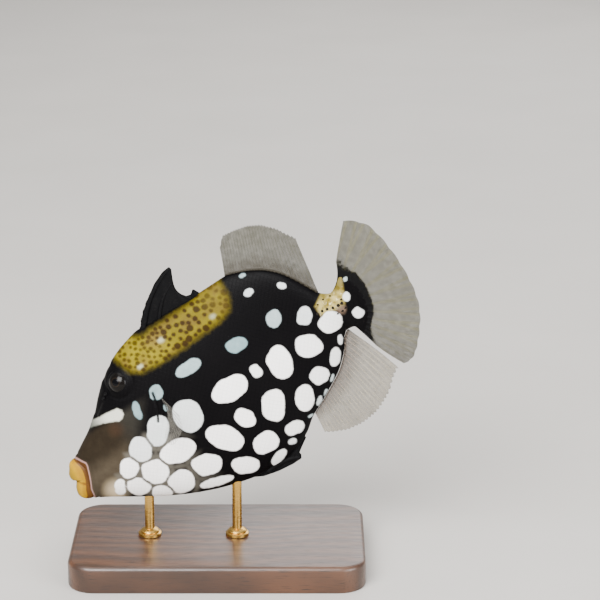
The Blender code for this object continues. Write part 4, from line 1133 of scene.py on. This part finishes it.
first_dorsal = build_dark_fin(
    "first_dorsal_skin", "first_dorsal_fin",
    [(35.6, 21.6), (40.0, 21.9), (46.0, 21.7), (53.9, 21.0)],
    [(36.0, 21.9), (38.2, 25.0), (41.5, 27.7), (45.5, 30.3), (48.9, 31.7), (51.05, 31.95),
     (51.25, 31.1), (50.6, 30.0), (49.95, 28.9), (49.3, 27.2), (49.25, 25.6), (49.6, 24.3),
     (50.4, 23.2), (51.5, 22.9), (52.9, 23.7), (53.5, 22.5), (53.9, 21.4)], 0.25, SPINES, 0.07)
flap = build_dark_fin(
    "pelvic_flap_skin", "pelvic_flap",
    [(36.6, -26.0), (42.0, -26.9), (48.0, -26.6), (54.9, -24.4)],
    [(36.8, -26.5), (40.0, -28.2), (44.0, -29.1), (48.0, -29.5), (50.8, -29.4), (51.3, -28.6),
     (51.2, -27.8), (52.6, -26.8), (54.9, -25.3)], 0.4, [FLAP_SPINE], 0.22)

look = Looks("dark_fins", Roughness=0.6, Specular_IOR_Level=0.06)
dark = look.mottled(1.5, (3, 3, 4), (9, 9, 10), 4)
look.set("Base Color", look.mix(look.between(look.noise(0.4), 0.55, 0.75), dark, (16, 15, 15)))
look.bump(look.noise(0.3, rough=0.7), 0.06, 0.6)
look.wear(first_dorsal, flap)


# Rows of small forward thorns on the tail's stalk: each row's radius, and where its thorns show
THORN_ROWS = [
    (0.42, [(75.6, 0.95), (77.0, 0.95), (78.35, 0.7), (79.75, 0.2), (81.15, 0.0), (82.2, 0.0)]),
    (0.26, [(77.0, 3.0), (78.9, 3.4), (80.9, 3.2), (82.7, 0.9)]),
    (0.28, [(80.0, -1.8), (81.3, -1.85), (82.4, -1.6)]),
]
THORN = [(1.0, -0.3), (0.87, 0.15), (0.47, 0.65), (0.1, 1.0)]    # shares of its radius and height
THORN_HEIGHT, THORN_LEAN = 0.4, 0.25


def skin_place(x, y):
    """The point of the left skin that shows at (x, y), as its own s and h."""
    s, h = x, y
    for _ in range(12):
        got_s, got_h = seen(np.array([s, -float(side(s, h)), h]))
        s, h = s + (x - float(got_s)), h + (y - float(got_h))
    return s, h


places = []
for size, row in THORN_ROWS:
    for shown in row:
        s, h = skin_place(*shown)
        n, first, second = axes_at(s, h)
        tip = n * THORN_HEIGHT - np.array([THORN_LEAN, 0.0, 0.0])
        places.append((skin_point(s, h), size * first, size * second, tip))
look = Looks("thorns", Roughness=0.55, Specular_IOR_Level=0.1)
look.set("Base Color", look.mottled(0.4, (9, 7, 4), (24, 18, 10), 2))
look.wear(on_both_sides("tail_thorns", THORN, around=8, places=places))


# Stand: a walnut block with rounded edges and two turned brass rods

def build_base():
    levels = [(0.0, 0.4), (0.1, 0.12), (0.4, 0.0)]
    for t in np.linspace(0, math.pi / 2, 7):
        inset = BASE_CHAMFER * (1 - math.cos(t))
        levels.append((BASE_THICKNESS - BASE_CHAMFER * (1 - math.sin(t)), inset))
    verts, steps = [], 16
    for z, inset in levels:
        r = BASE_CORNER - inset
        for quarter in range(4):
            cx = (BASE_LENGTH / 2 - BASE_CORNER) * (1 if quarter in (0, 3) else -1)
            cy = (BASE_WIDTH / 2 - BASE_CORNER) * (1 if quarter in (0, 1) else -1)
            for k in range(steps + 1):
                a = math.radians(90 * quarter + 90 * k / steps)
                verts.append((cx + r * math.cos(a), cy + r * math.sin(a), z))
    faces = tube_faces(len(levels), 4 * (steps + 1))
    piece = new_object("base_block", np.array(verts) * MM, faces, 35)
    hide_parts("stand_base")
    return piece


# The rod's foot above the base, as (radius, height)
ROD_FOOT = [(COLLAR_RADIUS - 0.2, 0.0), (COLLAR_RADIUS, 0.2), (COLLAR_RADIUS, 0.8),
            (COLLAR_RADIUS - 0.25, 1.0), (2.45, 1.05), (2.5, 1.35), (2.3, 1.6), (1.9, 1.85),
            (1.5, 2.0), (ROD_RADIUS, 2.1)]
ROD_AROUND = 48


def build_rod(name, station):
    x, _, z = put_down([station, 0.0, float(belly(station))]) / MM
    top = z + ROD_SOCKET
    profile = [(ROD_RADIUS, BASE_THICKNESS - ROD_SEAT), (ROD_RADIUS, BASE_THICKNESS - 0.2)]
    profile += [(r, BASE_THICKNESS + up) for r, up in ROD_FOOT]
    profile += [(ROD_RADIUS, top - 0.4), (ROD_RADIUS - 0.4, top)]
    ways = np.eye(3)
    verts = turned(profile, x * ways[0], *ways, ROD_AROUND)
    faces = tube_faces(len(profile), ROD_AROUND)
    piece = new_object("rod_" + name, verts * MM, faces, 40)
    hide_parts("stand_rod_" + name)
    return piece


look = Looks("walnut", Coat_Weight=0.25, Coat_Roughness=0.25)
bulge = look.node("TexNoise", {"Vector": look.place(0.35, 1, 1), "Scale": 0.05})["Color"]
bulge = look.node("VectorMath", {0: bulge, "Scale": 14.0}, operation="SCALE")[0]
warp = look.node("VectorMath", {0: look.place(0.12, 1, 1), 1: bulge}, operation="ADD")[0]
bands = look.node("TexWave", {"Vector": warp, "Scale": 0.075, "Distortion": 3.0, "Detail": 3.0,
                              "Detail Scale": 1.2}, bands_direction="Y")["Fac"]
pores = look.noise(0.22, rough=0.6, place=look.place(0.045, 1, 1))
wood = look.mix(bands, (38, 22, 13), (84, 52, 31))
wood = look.mix(look.noise(14, 2), wood, (58, 35, 21))
wood = look.mix(look.between(pores, 0.56, 0.68), wood, (24, 14, 8))
look.set("Base Color", wood)
look.bump(pores, 0.04, 0.5)
look.set("Roughness", look.between(pores, 0.3, 0.7, 0.36, 0.52))
look.wear(build_base())

look = Looks("brass", Metallic=1.0)
rings = look.noise(0.12, 2, place=look.place(0.05, 0.05, 1))
look.set("Base Color", look.mottled(5, (190, 148, 70), (206, 168, 92), 2))
look.bump(rings, 0.004, 0.4)
look.set("Roughness", look.between(rings, 0.3, 0.7, 0.24, 0.36))
look.wear(*[build_rod(name, station) for name, station in ROD_STATIONS.items()])


# Floor and light

FLOOR_REACH = 6.0
corners = [(FLOOR_REACH * x, FLOOR_REACH * y, 0) for x, y in ((-1, -1), (1, -1), (1, 1), (-1, 1))]
floor_mesh = bpy.data.meshes.new("floor")
floor_mesh.from_pydata(corners, [], [(0, 1, 2, 3)])
floor = in_scene("floor", floor_mesh)
look = Looks("floor", Roughness=0.75)
look.set("Base Color", look.mottled(60, (166, 162, 157), (176, 172, 167)))
look.wear(floor)

# Each light's place, size and power. All aim at the fish's middle
AIM = (0.0, 0.0, 0.045)
LIGHTS = {
    "key": ((-0.35, -0.75, 0.75), (0.7, 0.7), 42.0),
    "fill": ((0.7, -0.6, 0.3), (0.6, 0.5), 14.0),
    "top": ((0.0, 0.1, 1.0), (1.0, 0.8), 7.0),
    "rear": ((0.3, 0.8, 0.5), (0.8, 0.5), 6.0),
}
for name, (place, size, power) in LIGHTS.items():
    light = bpy.data.lights.new(name, "AREA")
    light.shape = "RECTANGLE"
    light.size, light.size_y = size
    light.energy = power
    found = in_scene(name, light)
    found.location = place
    found.rotation_euler = (Vector(AIM) - Vector(place)).to_track_quat("-Z", "Y").to_euler()

world = bpy.data.worlds.new("world")
bpy.context.scene.world = world
world.use_nodes = True
background = world.node_tree.nodes["Background"].inputs
background["Color"].default_value = tone(225, 224, 222)
background["Strength"].default_value = 0.55
